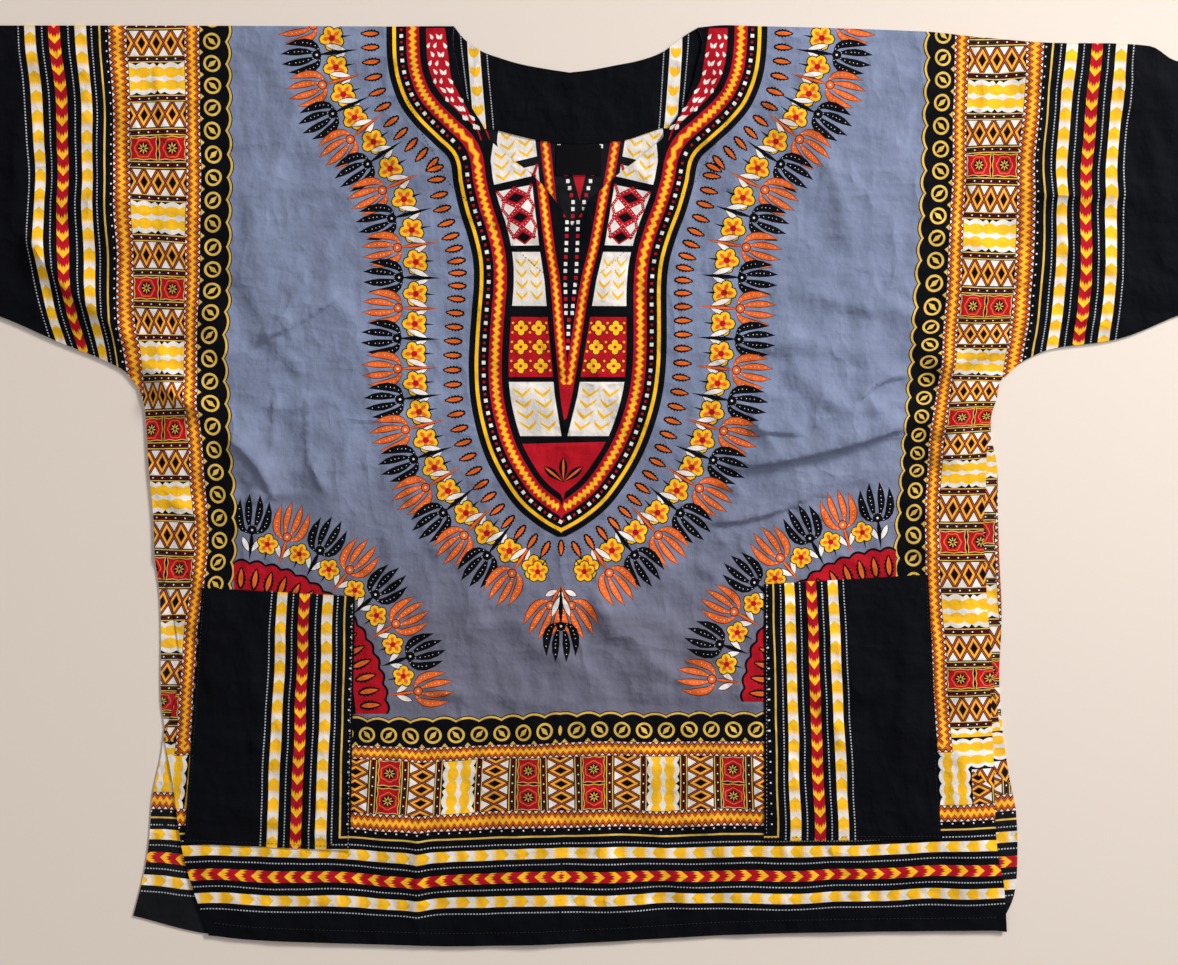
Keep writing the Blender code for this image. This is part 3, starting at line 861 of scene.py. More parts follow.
    def build_stripes(self) -> bpy.types.NodeTree:
        """The stripes outside the border: streaked gold on white, arrows on red, dotted lines."""
        sketch, given, out = begin_group("stripe_print", {"Out": "Float", "Along": "Float"}, {"Color": "Color"})
        outward, along = given["Out"], given["Along"]
        color = sketch.use(self.lines, Under=(*Ink.BLACK.value, 1.0), Out=outward, Along=along).outputs[0]
        near = [abs(outward - middle) for middle in (115.2, 134.0, 155.6, 176.0)]
        dotted = near[0].least(near[1]).least(near[2]).least(near[3])
        color = sketch.paint(color, (dotted < 0.55) * ((along / 2.5).part() < 0.54), Ink.GREY)
        side = abs(outward - 124.0).least(abs(outward - 166.0)) / 4.7
        comb = side.saw(0.36)
        turn = (along / 16.2).part()
        band = side < 1.0
        color = sketch.paint(color, band, Ink.WHITE)
        dome = turn > (side * 0.24 + 0.06)
        color = sketch.paint(color, band * dome * (turn < (comb * 0.2 + 0.76)) * 0.55, Ink.GOLD)
        color = sketch.paint(color, band * dome * (turn < (comb * 0.16 + 0.64)), Ink.GOLD)
        off = abs(outward - 145.3) / 4.8
        teeth = off.saw(0.5)
        turn = (along / 13.7).part()
        stripe = off < 1.0
        color = sketch.paint(color, stripe, Ink.RED)
        tip = turn < (off * -0.4 + 0.84)
        color = sketch.paint(color, stripe * tip * (turn > (off * -0.24 + teeth * 0.2 + 0.24)), Ink.ORANGE)
        color = sketch.paint(color, stripe * tip * (turn > (off * -0.24 + teeth * 0.2 + 0.32)), Ink.GOLD)
        sketch.feed(out.inputs["Color"], color)
        return sketch.tree

    @staticmethod
    def build_cotton() -> bpy.types.NodeTree:
        """The cotton itself: uneven dye, fine threads and soft crumples."""
        sketch, given, out = begin_group(
            "woven_cotton", {"Color": "Color", "Unevenness": "Float"},
            {"Color": "Color", "Height": "Float", "Roughness": "Float"})
        spot = sketch.tree.nodes.new("ShaderNodeTexCoord").outputs["Object"]

        def clouds(scale: tuple[float, float, float], detail: float) -> Wire:
            """Smooth noise stretched by a scale.

            Args:
                scale: How fine it is along each axis.
                detail: How many finer layers it has.

            Returns:
                The noise, about 0.5 on average.
            """
            turn = sketch.tree.nodes.new("ShaderNodeMapping")
            turn.inputs["Scale"].default_value = scale
            sketch.feed(turn.inputs["Vector"], spot)
            node = sketch.tree.nodes.new("ShaderNodeTexNoise")
            node.inputs["Scale"].default_value = 1.0
            node.inputs["Detail"].default_value = detail
            sketch.feed(node.inputs["Vector"], turn.outputs[0])
            return Wire(sketch, node.outputs["Fac"])

        threads = clouds((60.0, 1100.0, 40.0), 1.0) + clouds((1100.0, 60.0, 40.0), 1.0)
        dye = clouds((38.0, 30.0, 30.0), 3.0) + clouds((7.0, 6.0, 6.0), 2.0)
        tone = (threads - 1.0) * 0.1 + (dye - 1.0) * 1.1
        tone = tone * given["Unevenness"] + 1.0
        scaled = sketch.tree.nodes.new("ShaderNodeVectorMath")
        scaled.operation = "SCALE"
        sketch.feed(scaled.inputs[0], given["Color"])
        sketch.feed(scaled.inputs["Scale"], tone)
        crumple = clouds((34.0, 26.0, 30.0), 4.0)
        pulls = clouds((16.0, 60.0, 30.0), 2.0)
        sketch.feed(out.inputs["Color"], scaled.outputs[0])
        folded = (abs(clouds((15.0, 24.0, 30.0), 2.0) - 0.5) * -9.0 + 1.0).most(0.0)
        crossed = (abs(clouds((27.0, 13.0, 21.0), 2.0) - 0.5) * -9.0 + 1.0).most(0.0)
        creased = (folded * 0.36 + crossed * 0.32) * (dye - 0.6).most(0.0)
        sketch.feed(out.inputs["Height"], crumple * 0.95 + pulls * 0.4 + threads * 0.012 + creased)
        sketch.feed(out.inputs["Roughness"], dye * 0.06 + 0.76)
        return sketch.tree


@dataclass(frozen=True)
class PrintedCotton:
    """A finish of woven cotton with one part of the print on it."""

    name: str
    pattern: Pattern
    base: Ink = Ink.GROUND
    unevenness: float = 0.5
    fade: float = 0.0
    crumple: float = 0.0046
    sheen: float = 0.01

    def material(self, works: PrintWorks) -> bpy.types.Material:
        """Builds the material.

        Args:
            works: The groups of the print.

        Returns:
            The material.
        """
        material = bpy.data.materials.new(self.name)
        material.use_nodes = True
        sketch = Sketch(material.node_tree)
        shader = material.node_tree.nodes["Principled BSDF"]
        color = self.printed(sketch, works)
        inks = material.node_tree.nodes.new("ShaderNodeAttribute")
        inks.attribute_name = "ink"
        color = sketch.paint(color, inks.outputs["Alpha"], inks.outputs["Color"])
        if self.fade:
            color = sketch.paint(color, self.fade, Ink.GREY)
        cotton = sketch.use(works.cotton, Color=color, Unevenness=self.unevenness)
        bump = material.node_tree.nodes.new("ShaderNodeBump")
        bump.inputs["Distance"].default_value = self.crumple
        bump.inputs["Strength"].default_value = 1.0
        sketch.feed(bump.inputs["Height"], cotton.outputs["Height"])
        sketch.feed(shader.inputs["Base Color"], cotton.outputs["Color"])
        sketch.feed(shader.inputs["Roughness"], cotton.outputs["Roughness"])
        sketch.feed(shader.inputs["Normal"], bump.outputs[0])
        shader.inputs["Specular IOR Level"].default_value = 0.07
        shader.inputs["Sheen Weight"].default_value = self.sheen
        shader.inputs["Sheen Roughness"].default_value = 0.5
        return material

    def printed(self, sketch: Sketch, works: PrintWorks) -> object:
        """The print's colour, before the inks drawn on single faces.

        Args:
            sketch: The material's tree.
            works: The groups of the print.

        Returns:
            The colour or its socket.
        """
        if self.pattern is Pattern.PLAIN:
            return (*self.base.value, 1.0)
        uv = sketch.tree.nodes.new("ShaderNodeUVMap")
        uv.uv_map = "cloth"
        place = sketch.use(works.place, Flat=uv.outputs[0])
        group = {Pattern.GROUND: works.scallop, Pattern.BORDER: works.border, Pattern.STRIPES: works.stripes}
        given = {"Out": place.outputs["Out"], "Along": place.outputs["Along"]}
        if self.pattern is Pattern.BORDER:
            given["Corner"] = place.outputs["Corner"]
        return sketch.use(group[self.pattern], **given).outputs[0]


@dataclass(frozen=True)
class PlainFinish:
    """A finish of one colour."""

    name: str
    color: tuple[float, float, float]
    roughness: float
    sheen: float = 0.0
    specular: float = 0.4

    def material(self) -> bpy.types.Material:
        """Builds the material."""
        material = bpy.data.materials.new(self.name)
        material.use_nodes = True
        shader = material.node_tree.nodes["Principled BSDF"]
        shader.inputs["Base Color"].default_value = (*self.color, 1.0)
        shader.inputs["Roughness"].default_value = self.roughness
        shader.inputs["Sheen Weight"].default_value = self.sheen
        shader.inputs["Specular IOR Level"].default_value = self.specular
        return material


@dataclass
class Drawing:
    """Shapes printed on the cloth in one ink each, later ones over earlier ones."""

    shapes: list[tuple[np.ndarray, Ink]] = field(default_factory=list)

    def add(self, points: Sequence, ink: Ink) -> None:
        """Adds a closed shape, given in millimetres."""
        self.shapes.append((np.asarray(points, dtype=float), ink))

    def blade(self, line: np.ndarray, half: float, ink: Ink, grow: float = 0.0, full: float = 0.62) -> None:
        """A petal, leaf or drop along a line.

        Args:
            line: The line through its middle.
            half: Half its greatest width.
            ink: Its colour.
            grow: How much wider and longer than that, as for an outline.
            full: Where along it is widest, 0 to 1.
        """
        t = np.linspace(0.0, 1.0, len(line))
        power = math.log(0.5) / math.log(full)
        width = (half + grow) * np.sin(np.pi * t**power) ** 0.8
        run = np.gradient(line, axis=0)
        run /= np.linalg.norm(run, axis=1)[:, None]
        line = line.copy()
        line[0] -= run[0] * grow
        line[-1] += run[-1] * grow * 1.3
        side = np.stack([-run[:, 1], run[:, 0]], axis=1) * width[:, None]
        rim = [[line[0]], line[1:-1] + side[1:-1], [line[-1]], (line - side)[1:-1][::-1]]
        self.add(np.concatenate(rim), ink)

    def ribbon(self, line: np.ndarray, half: float, ink: Ink) -> None:
        """A band of even width along a line.

        Args:
            line: Its middle line.
            half: Half its width.
            ink: Its ink.
        """
        run = np.gradient(line, axis=0)
        run /= np.linalg.norm(run, axis=1)[:, None]
        side = np.stack([-run[:, 1], run[:, 0]], axis=1) * half
        self.add(np.concatenate([line + side, (line - side)[::-1]]), ink)

    def disc(self, middle: Sequence[float], radius: float, ink: Ink, corners: int = 8) -> None:
        """A small round spot."""
        angles = np.arange(corners) * 2.0 * np.pi / corners
        self.add(np.array(middle) + radius * np.stack([np.cos(angles), np.sin(angles)], axis=1), ink)


@dataclass
class Path:
    """A line with a direction along it and one outwards at each point."""

    points: np.ndarray

    def __post_init__(self) -> None:
        """Measures the line."""
        gaps = np.linalg.norm(np.diff(self.points, axis=0), axis=1)
        self.lengths = np.concatenate([[0.0], np.cumsum(gaps)])
        run = np.gradient(self.points, axis=0)
        run /= np.linalg.norm(run, axis=1)[:, None]
        self.outs = np.stack([-run[:, 1], run[:, 0]], axis=1)

    def spot(self, length: float, out: float = 0.0) -> tuple[np.ndarray, np.ndarray]:
        """A place along the line.

        Args:
            length: How far along.
            out: How far out from it.

        Returns:
            The place, and the outward direction there.
        """
        place = np.array([np.interp(length, self.lengths, self.points[:, k]) for k in (0, 1)])
        outward = np.array([np.interp(length, self.lengths, self.outs[:, k]) for k in (0, 1)])
        outward /= np.linalg.norm(outward)
        return place + outward * out, outward


def curve(start: Sequence[float], bend: Sequence[float], end: Sequence[float], count: int = 6) -> np.ndarray:
    """Points on a bow from start to end, pulled towards bend."""
    t = np.linspace(0.0, 1.0, count)[:, None]
    return np.array(start) * (1 - t) ** 2 + np.array(bend) * 2 * t * (1 - t) + np.array(end) * t**2


@dataclass
class Motif:
    """Draws flowers in their own coordinates: outward, then aside."""

    drawing: Drawing
    origin: np.ndarray
    outward: np.ndarray
    size: float = 1.0

    def place(self, *points: Sequence[float]) -> list[np.ndarray]:
        """Own coordinates as places on the cloth."""
        aside = np.array([-self.outward[1], self.outward[0]])
        return [self.origin + (self.outward * p[0] + aside * p[1]) * self.size for p in points]

    def petal(self, start: Sequence[float], bend: Sequence[float], end: Sequence[float], half: float,
              ink: Ink, edge: Ink, count: int = 6) -> None:
        """A petal with an outline and a row of pale dots.

        Args:
            start: Where its middle line starts.
            bend: What the line is pulled towards.
            end: Where the line ends.
            half: Half the petal's width.
            ink: Its ink.
            edge: The ink of its outline.
            count: How many dots it has.
        """
        line = curve(*self.place(start, bend, end), count=count)
        self.drawing.blade(line, half * self.size, edge, 0.8 * self.size)
        if ink is not edge:
            self.drawing.blade(line, (half - 0.2) * self.size, ink)
        for part in (4, 7, 10, 12, 14, 17):
            spot = curve(*self.place(start, bend, end), count=21)[part]
            self.drawing.disc(spot, 0.55 * self.size, Ink.WHITE, 4)

    def tulip(self, ink: Ink, stem: float = 38.0, head: float = 37.0) -> None:
        """A flower on a stem: two bowed petals, two straight ones and a pair of leaves.

        Args:
            ink: The colour of its petals.
            stem: How far out the flower sits.
            head: How long its petals are.
        """
        edge = Ink.BLACK if ink is Ink.BLACK else Ink.BRICK
        line = curve(*self.place((-2, 0), (stem * 0.5, 0.6), (stem + 2, 0)), count=4)
        self.drawing.blade(line, 2.2 * self.size, edge)
        if ink is not Ink.BLACK:
            self.drawing.blade(line, 1.3 * self.size, ink)
        for side in (-1, 1):
            line = curve(*self.place((stem * 0.28, 1.5 * side), (stem * 0.5, 5 * side), (stem * 0.8, 9 * side)), count=6)
            self.drawing.blade(line, 2.7 * self.size, edge, 0.9 * self.size, 0.55)
            self.drawing.blade(line, 2.6 * self.size, Ink.WHITE, 0.0, 0.55)
        for side in (-1, 1):
            self.petal((stem - 1, 0), (stem - 2, 17 * side), (stem + head * 0.84, 14.5 * side), 3.6, ink, edge, 7)
            self.petal((stem + 1, 1 * side), (stem + head * 0.35, 7 * side), (stem + head, 5.2 * side), 3.1, ink, edge, 6)
        self.drawing.disc(self.place((stem + 2, 0))[0], 5.0 * self.size, edge, 8)
        self.drawing.disc(self.place((stem + 2, 0))[0], 4.0 * self.size, ink, 8)
        self.drawing.disc(self.place((stem + 2, 0))[0], 1.2 * self.size, Ink.WHITE, 6)

    def blossom(self) -> None:
        """A five-petalled flower in yellow and red on a short stalk."""
        self.drawing.blade(curve(*self.place((-14, 0), (-8, 0.5), (0, 0)), count=3), 0.9 * self.size, Ink.BLACK)
        spots = [(math.cos(turn) * 5.2, math.sin(turn) * 5.2) for turn in np.arange(5) * 2 * math.pi / 5]
        for spot in spots:
            self.drawing.disc(self.place(spot)[0], 4.5 * self.size, Ink.BLACK, 8)
        for spot in spots:
            self.drawing.disc(self.place(spot)[0], 3.7 * self.size, Ink.GOLD, 8)
        for turn in np.arange(5) * 2 * math.pi / 5:
            tip = (math.cos(turn) * 7.2, math.sin(turn) * 7.2)
            self.drawing.blade(curve(*self.place((0, 0), (tip[0] / 2, tip[1] / 2), tip), count=4),
                               1.5 * self.size, Ink.ORANGE)
        self.drawing.disc(self.place((0, 0))[0], 2.4 * self.size, Ink.RED, 6)

    def drop(self, ink: Ink = Ink.ORANGE) -> None:
        """A drop with a feathered black outline.

        Args:
            ink: The ink inside the outline.
        """
        line = curve(*self.place((-8.4, 0), (0, 0.3), (8.6, 0)), count=13)
        reach = np.sin(np.pi * np.linspace(0.04, 0.96, 13) ** 1.2) ** 0.7 * np.where(np.arange(13) % 2, 4.3, 3.0)
        across = np.array([-self.outward[1], self.outward[0]])
        side = across * reach[:, None] * self.size
        self.drawing.add(np.concatenate([line + side, (line - side)[::-1]]), Ink.BLACK)
        line = curve(*self.place((-8, 0), (0, 0.3), (8.2, 0)), count=6)
        self.drawing.blade(line, 2.4 * self.size, ink, -0.6 * self.size, 0.55)
        line = curve(*self.place((-4, 0), (0, 0), (5.0, 0)), count=4)
        self.drawing.blade(line, 0.6 * self.size, Ink.AMBER)


class FrontPrint:
    """The shapes printed round the neck and over the pockets."""

    def __init__(self, strip: Rows) -> None:
        """Lays out the yoke, its flowers and the corner sprays.

        Args:
            strip: Half the width of the strip down the middle, and down, in print steps.
        """
        self.drawing = Drawing()
        self.strip = strip
        self.axis = ([row[0] for row in PRINT_ROWS], [row[7] for row in PRINT_ROWS])
        self.sides = {side: Path(self.yoke_line(side)) for side in (-1, 1)}
        self.flowers()
        self.corner_sprays()
        self.bands()
        self.cells()
        self.centre_strip()

    def on_axis(self, down: float) -> float:
        """Where the print's axis runs, in print steps, on one row."""
        return float(np.interp(down, *self.axis))

    def yoke_line(self, side: int) -> np.ndarray:
        """The outer edge of the neck band on one side, in millimetres, top to apex."""
        rows = smooth_edge([(self.on_axis(down) + side * off, down) for off, down in YOKE_HALF], 5.0)
        return np.concatenate([steps(rows), [at(self.on_axis(539), 539)]])

    def ring(self, inset: float) -> np.ndarray:
        """The closed outline that lies a distance inside the yoke's outer edge.

        Args:
            inset: The distance, in print steps.

        Returns:
            Its points in millimetres.
        """
        parts = []
        for side, path in self.sides.items():
            line = path.points + path.outs * (inset * STEP * side)
            steps_down = line[:, 1] / STEP + TOP_STEP
            centre = (np.interp(steps_down, *self.axis) - MIDDLE_STEP) * STEP
            parts.append(line[(line[:, 0] - centre) * side > 0.4])
        tip = max(parts[0][-1][1], parts[1][-1][1]) + inset * STEP * 0.16
        apex = np.array([[(parts[0][-1][0] + parts[1][-1][0]) / 2.0, tip]])
        return np.concatenate([parts[0], apex, parts[1][::-1]])

    def outer(self, side: int, length: float, out: float) -> tuple[np.ndarray, np.ndarray]:
        """A place outside the yoke on one side, in millimetres, and the direction away from it.

        Args:
            side: -1 or 1.
            length: How far along the yoke's edge.
            out: How far out from it.

        Returns:
            The place and the direction.
        """
        path = self.sides[side]
        place, direction = path.spot(length)
        direction = direction * -side
        return place + direction * out * STEP, direction

    def bands(self) -> None:
        """The bands of the yoke, from the outer edge inwards."""
        for inset, ink in ((0, Ink.BLACK), (6.0, Ink.GOLD), (9.6, Ink.BLACK), (20, Ink.RED)):
            self.drawing.add(self.ring(inset), ink)
        for side, path in self.sides.items():
            total = path.lengths[-1]
            count = int(total / 5.6)
            for index in range(count):
                place, direction = self.outer(side, 2 + index * 5.6, -15.0)
                ink = Ink.WHITE if index % 2 else Ink.RED
                size = 1.5 if index % 2 else 1.0
                aside = np.array([-direction[1], direction[0]])
                self.drawing.add([place + direction * a * size + aside * b * size
                                  for a, b in ((-1, -1), (1, -1), (1, 1), (-1, 1))], ink)
            turns = int(total / 5.9) * 2
            wave = []
            for index in range(turns + 1):
                out = -26.3 + (1.5 if index % 2 else -1.5)
                wave.append(self.outer(side, total * index / turns, out)[0])
            wave = np.array(wave)
            axis_x = (np.interp(wave[:, 1] / STEP + TOP_STEP, *self.axis) - MIDDLE_STEP) * STEP
            kept = wave[(wave[:, 0] - axis_x) * side > 0.2]
            self.wave(kept, 2.7, Ink.ORANGE)
            self.wave(kept, 1.8, Ink.GOLD)
        self.drawing.add(self.ring(33), Ink.BLACK)

    def wave(self, line: np.ndarray, half: float, ink: Ink) -> None:
        """A zigzag line of one width, without crossings.

        Args:
            line: The points where it turns.
            half: Half its width.
            ink: Its ink.
        """
        run = line[2:] - line[:-2]
        run = np.concatenate([[run[0]], run, [run[-1]]])
        run /= np.linalg.norm(run, axis=1)[:, None]
        side = np.stack([-run[:, 1], run[:, 0]], axis=1) * half
        self.drawing.add(np.concatenate([line + side, (line - side)[::-1]]), ink)

    def flowers(self) -> None:
        """Drops, tulips and blossoms round the outside of the yoke."""
        for side, path in self.sides.items():
            rows = smooth_edge([(self.on_axis(down) + side * off, down) for off, down in FLOWER_HALF], 4.0)
            guide = Path(steps(rows))
            count = int(guide.lengths[-1] / 25.2)
            for index in range(count):
                length = 12.0 + (guide.lengths[-1] - 14.0) * index / count
                direction = guide.spot(length)[1] * -side
                place = guide.spot(length)[0] - direction * 37.0 * STEP
                Motif(self.drawing, place, direction, STEP).tulip(Ink.BLACK if index % 2 else Ink.ORANGE)
                length += guide.lengths[-1] / count / 2.0
                direction = guide.spot(length)[1] * -side
                place = guide.spot(length)[0] - direction * 14.0 * STEP
                Motif(self.drawing, place, direction, STEP * 1.4).blossom()
            total = path.lengths[-1]
            count = int(total / 11.4)
            for index in range(count):
                place, direction = self.outer(side, 4.0 + total * index / count, 16.5)
                Motif(self.drawing, place, -direction, STEP * 1.12).drop()
        apex = np.array(at(self.on_axis(539), 539))
        down = np.array((0.0, 1.0))
        Motif(self.drawing, apex + (0.0, 9 * STEP), -down, STEP).drop()
        for turn, ink in ((-0.5, Ink.ORANGE), (0.5, Ink.ORANGE), (0.0, Ink.BLACK)):
            direction = np.array((math.sin(turn), math.cos(turn)))
            Motif(self.drawing, apex + down * 47 * STEP, direction, STEP).tulip(ink, 38.0 if turn == 0.0 else 20.0)
        for turn in (-0.62, 0.62):
            direction = np.array((math.sin(turn), math.cos(turn)))
            Motif(self.drawing, apex + direction * 40 * STEP, direction, STEP * 1.2).blossom()

    def corner_sprays(self) -> None:
        """A red quarter ring with flowers over each pocket's inner corner."""
        for middle, side in ((at(234, 715), 1), (at(896, 703), -1)):
            middle = np.array(middle)

            def spoke(turn: float, radius: float) -> tuple[np.ndarray, np.ndarray]:
                """A place on the quarter ring, turned from the way up, and the way outwards."""
                direction = np.array((math.sin(turn) * side, -math.cos(turn)))
                return middle + direction * radius * STEP, direction

            turns = np.linspace(0.10, 1.44, 8)
            for index, turn in enumerate(turns):
                place, direction = spoke(turn, 157.0)
                Motif(self.drawing, place, direction, STEP).tulip(Ink.ORANGE if index % 2 else Ink.BLACK, 27.0)
            for turn in (turns[1:] + turns[:-1]) / 2.0:
                place, direction = spoke(turn, 174.0)
                Motif(self.drawing, place, direction, STEP * 1.2).blossom()
            fine = np.linspace(0.0, 1.56, 106)
            for radius, ink in ((153.5, Ink.BLACK), (151.0, Ink.RED)):
                lobes = [spoke(turn, radius + 3.4 * abs(math.sin(turn * 30.0)))[0] for turn in fine]
                self.drawing.add([*lobes, middle], ink)
            for turn in (np.arange(15) + 0.5) / 15.0 * 1.55:
                place, direction = spoke(turn, 137.5)
                Motif(self.drawing, place, -direction, STEP * 1.3).drop()
            for radius, ink in ((122.0, Ink.BLACK), (119.0, Ink.GOLD), (116.0, Ink.BLACK)):
                self.drawing.add([*[spoke(turn, radius)[0] for turn in fine[::3]], middle], ink)

    def cells(self) -> None:
        """The fields between the yoke's bands and the strip down the middle."""
        spans = ((112, 188, "chevrons"), (28, 138, "leaves"), (192, 248, "diamonds"), (252, 311, "columns"),
                 (317, 377, "flowers"), (382, 437, "columns"))
        path = self.sides[-1]
        downs = (path.points + path.outs * (-40.0 * STEP))
        offs = np.array([self.on_axis(y / STEP + TOP_STEP) - (x / STEP + MIDDLE_STEP) for x, y in downs])
        rows_down = downs[:, 1] / STEP + TOP_STEP
        order = np.argsort(rows_down)
        for top, bottom, art in spans:
            rows = np.arange(top, bottom + 0.1, 6.0)
            wide = np.interp(rows, rows_down[order], offs[order])
            thin = np.interp(rows, [row[1] for row in self.strip], [row[0] for row in self.strip]) + 2.0
            if art == "chevrons":
                wide = np.minimum(wide, np.interp(rows, (130, 160, 188), (80, 84, 96)))
            if art == "leaves":
                thin = np.interp(rows, (28, 80, 110, 138), (132, 125, 108, 92))
                wide = np.maximum(wide, thin + 1.0)
            for side in (-1, 1):
                edge = [self.tilted(side, a, row) for row, a in zip(rows, wide)]
                inner = [self.tilted(side, b, row) for row, b in zip(rows, thin)]
                ground = Ink.RED if art in ("leaves", "flowers") else Ink.WHITE
                self.drawing.add(steps(edge + inner[::-1]), ground)
                self.art(art, side, rows, wide, thin)
        base = self.ring(39.0)
        low = base[base[:, 1] > at(0, 441)[1]]
        if len(low) > 3:
            self.drawing.add(low, Ink.RED)
            centre = self.on_axis(465)
            for turn in (-0.9, 0.0, 0.9):
                direction = np.array((math.sin(turn), -math.cos(turn)))
                line = curve(at(centre, 482), np.array(at(centre, 482)) + direction * 9,
                             np.array(at(centre, 482)) + direction * 21, 6)
                self.drawing.blade(line, 3.6, Ink.BLACK)
                self.drawing.blade(line, 1.8, Ink.ORANGE, -0.8)

    def tilted(self, side: int, off: float, row: float) -> tuple[float, float]:
        """A place off the axis, raised towards the opened slit near the neck, in print steps.

        Args:
            side: -1 for the left half and 1 for the right.
            off: Distance from the axis.
            row: How far down.

        Returns:
            Across and down.
        """
        open_share = min(max((250.0 - row) / 63.0, 0.0), 1.0) * (off < 95.0)
        return self.on_axis(row) + side * off, row + open_share * (4.0 - 0.24 * (92.0 - off))

    def art(self, art: str, side: int, rows: np.ndarray, wide: np.ndarray, thin: np.ndarray) -> None:
        """Fills one field with its motif.

        Args:
            art: The motif's name.
            side: -1 for the left half and 1 for the right.
            rows: The field's rows, in print steps.
            wide: The outer edge on each row, from the axis.
            thin: The inner edge on each row, from the axis.
        """
        top, bottom = rows[0], rows[-1]

        def spot(part: float, row: float) -> tuple[float, float]:
            """A place by its share of the way across the field."""
            a, b = np.interp(row, rows, wide), np.interp(row, rows, thin)
            return at(*self.tilted(side, float(a + (b - a) * part), row))

        if art in ("columns", "chevrons"):
            for part in (0.27, 0.73):
                for row in np.arange(top + 9, bottom - 2, 11.0):
                    tip = spot(part, row + 3)
                    low = spot(part, row + 6.5)
                    self.drawing.add([spot(part - 0.2, row - 3.5), tip, spot(part + 0.2, row - 3.5),
                                      spot(part + 0.17, row + 0.5), low, spot(part - 0.17, row + 0.5)], Ink.GOLD)
        if art == "diamonds":
            for row in np.arange(top + 9.5, bottom, 18.5):
                for reach, ink in ((9.0, Ink.RED), (6.6, Ink.BLACK)):
                    share = reach / 27.0
                    self.drawing.add([spot(0.5 - share, row), spot(0.5, row - reach * 0.75), spot(0.5 + share, row),
                                      spot(0.5, row + reach * 0.75)], ink)
            turns = np.arange(top + 0.25, bottom + 0.1, 9.25)
            for middle, swing, half in ((0.5, 0.36, 1.9), (0.5, -0.36, 1.9), (0.03, 0.14, 1.5), (0.97, -0.14, 1.5)):
                line = np.array([spot(middle + (swing if k % 2 else 0.0), row) for k, row in enumerate(turns)])
                for a, b in zip(line, line[1:]):
                    self.drawing.ribbon(np.array([a - (b - a) * 0.1, b + (b - a) * 0.1]), half * 0.8, Ink.RED)
                for a, b in zip(line, line[1:]):
                    for share in (0.15, 0.38, 0.61, 0.84):
                        self.drawing.disc(a + (b - a) * share, 0.45, Ink.WHITE, 4)
        if art == "flowers":
            for part in (0.28, 0.74):
                for row in np.arange(top + 11, bottom - 4, 19.0):
                    for a, b in ((0, -4.2), (0, 4.2), (-4.0, 0), (4.0, 0)):
                        x, y = spot(part, row)
                        self.drawing.disc((x + a * STEP, y + b * STEP), 4.3 * STEP, Ink.BLACK, 7)
                    for a, b in ((0, -4.2), (0, 4.2), (-4.0, 0), (4.0, 0)):
                        self.drawing.disc((x + a * STEP, y + b * STEP), 3.4 * STEP, Ink.GOLD, 7)
                    self.drawing.disc((x, y), 1.5, Ink.RED, 6)
            for row in np.arange(top + 6, bottom - 2, 9.5):
                for part in (0.06, 0.51, 0.95):
                    self.drawing.disc(spot(part, row), 1.1, Ink.GOLD, 5)
        if art == "leaves":
            for index, row in enumerate(np.arange(top + 6, bottom - 4, 9.0)):
                for part in (0.18, 0.5, 0.82):
                    a, b = spot(part, row), spot(part, row + 6)
                    lean = 2.0 if (index + int(part * 10)) % 2 else -2.0
                    line = curve(a, ((a[0] + b[0]) / 2 + lean, (a[1] + b[1]) / 2), (b[0] + lean, b[1]), 4)
                    self.drawing.blade(line, 1.5, Ink.WHITE)

    def centre_strip(self) -> None:
        """The long strip down the middle with its wavy edges and rows of squares."""
        halves = np.array(smooth_edge(self.strip, 6.0).tolist() + [self.strip[-1]])
        for inset, ink in ((0.0, Ink.BLACK), (3.5, Ink.RED), (13.5, Ink.BLACK)):
            kept = halves[halves[:, 0] - inset > 0.3]
            left = [(self.on_axis(d) - h + inset, d) for h, d in kept]
            right = [(self.on_axis(d) + h - inset, d) for h, d in kept]
            tip = (self.on_axis(441), kept[-1][1] + 2.0)
            self.drawing.add(steps(left + [tip] + right[::-1]), ink)
            if ink is Ink.RED:
                for side in (-1, 1):
                    rows = np.arange(118.0, 395.0, 3.6)
                    at_row = np.interp(rows, halves[:, 1], halves[:, 0]) - 8.3
                    swing = np.where(np.arange(len(rows)) % 2, 1.1, -1.1)
                    kept_rows = at_row > 2.5
                    line = steps([(self.on_axis(d) + side * (h + s), d)
                                  for d, h, s in zip(rows[kept_rows], at_row[kept_rows], swing[kept_rows])])
                    self.wave(line, 2.1, Ink.ORANGE)
                    self.wave(line, 1.2, Ink.GOLD)
        for row in np.arange(145.0, 400.0, 7.0):
            reach = float(np.interp(row, halves[:, 1], halves[:, 0])) - 13.5
            for side in ((-1, 1) if reach > 6 else (0,)):
                away = min(float(np.interp(row, (145, 222), (27.0, 5.5))), reach * 0.5 if row > 222 else 30.0)
                x, y = at(self.on_axis(row) + side * away, row)
                ink = Ink.WHITE if int(row / 7.0) % 3 else Ink.RED
                if reach > 2.0:
                    self.drawing.add([(x - 1.4, y - 1.6), (x + 1.4, y - 1.6), (x + 1.4, y + 1.6), (x - 1.4, y + 1.6)],
                                     ink)


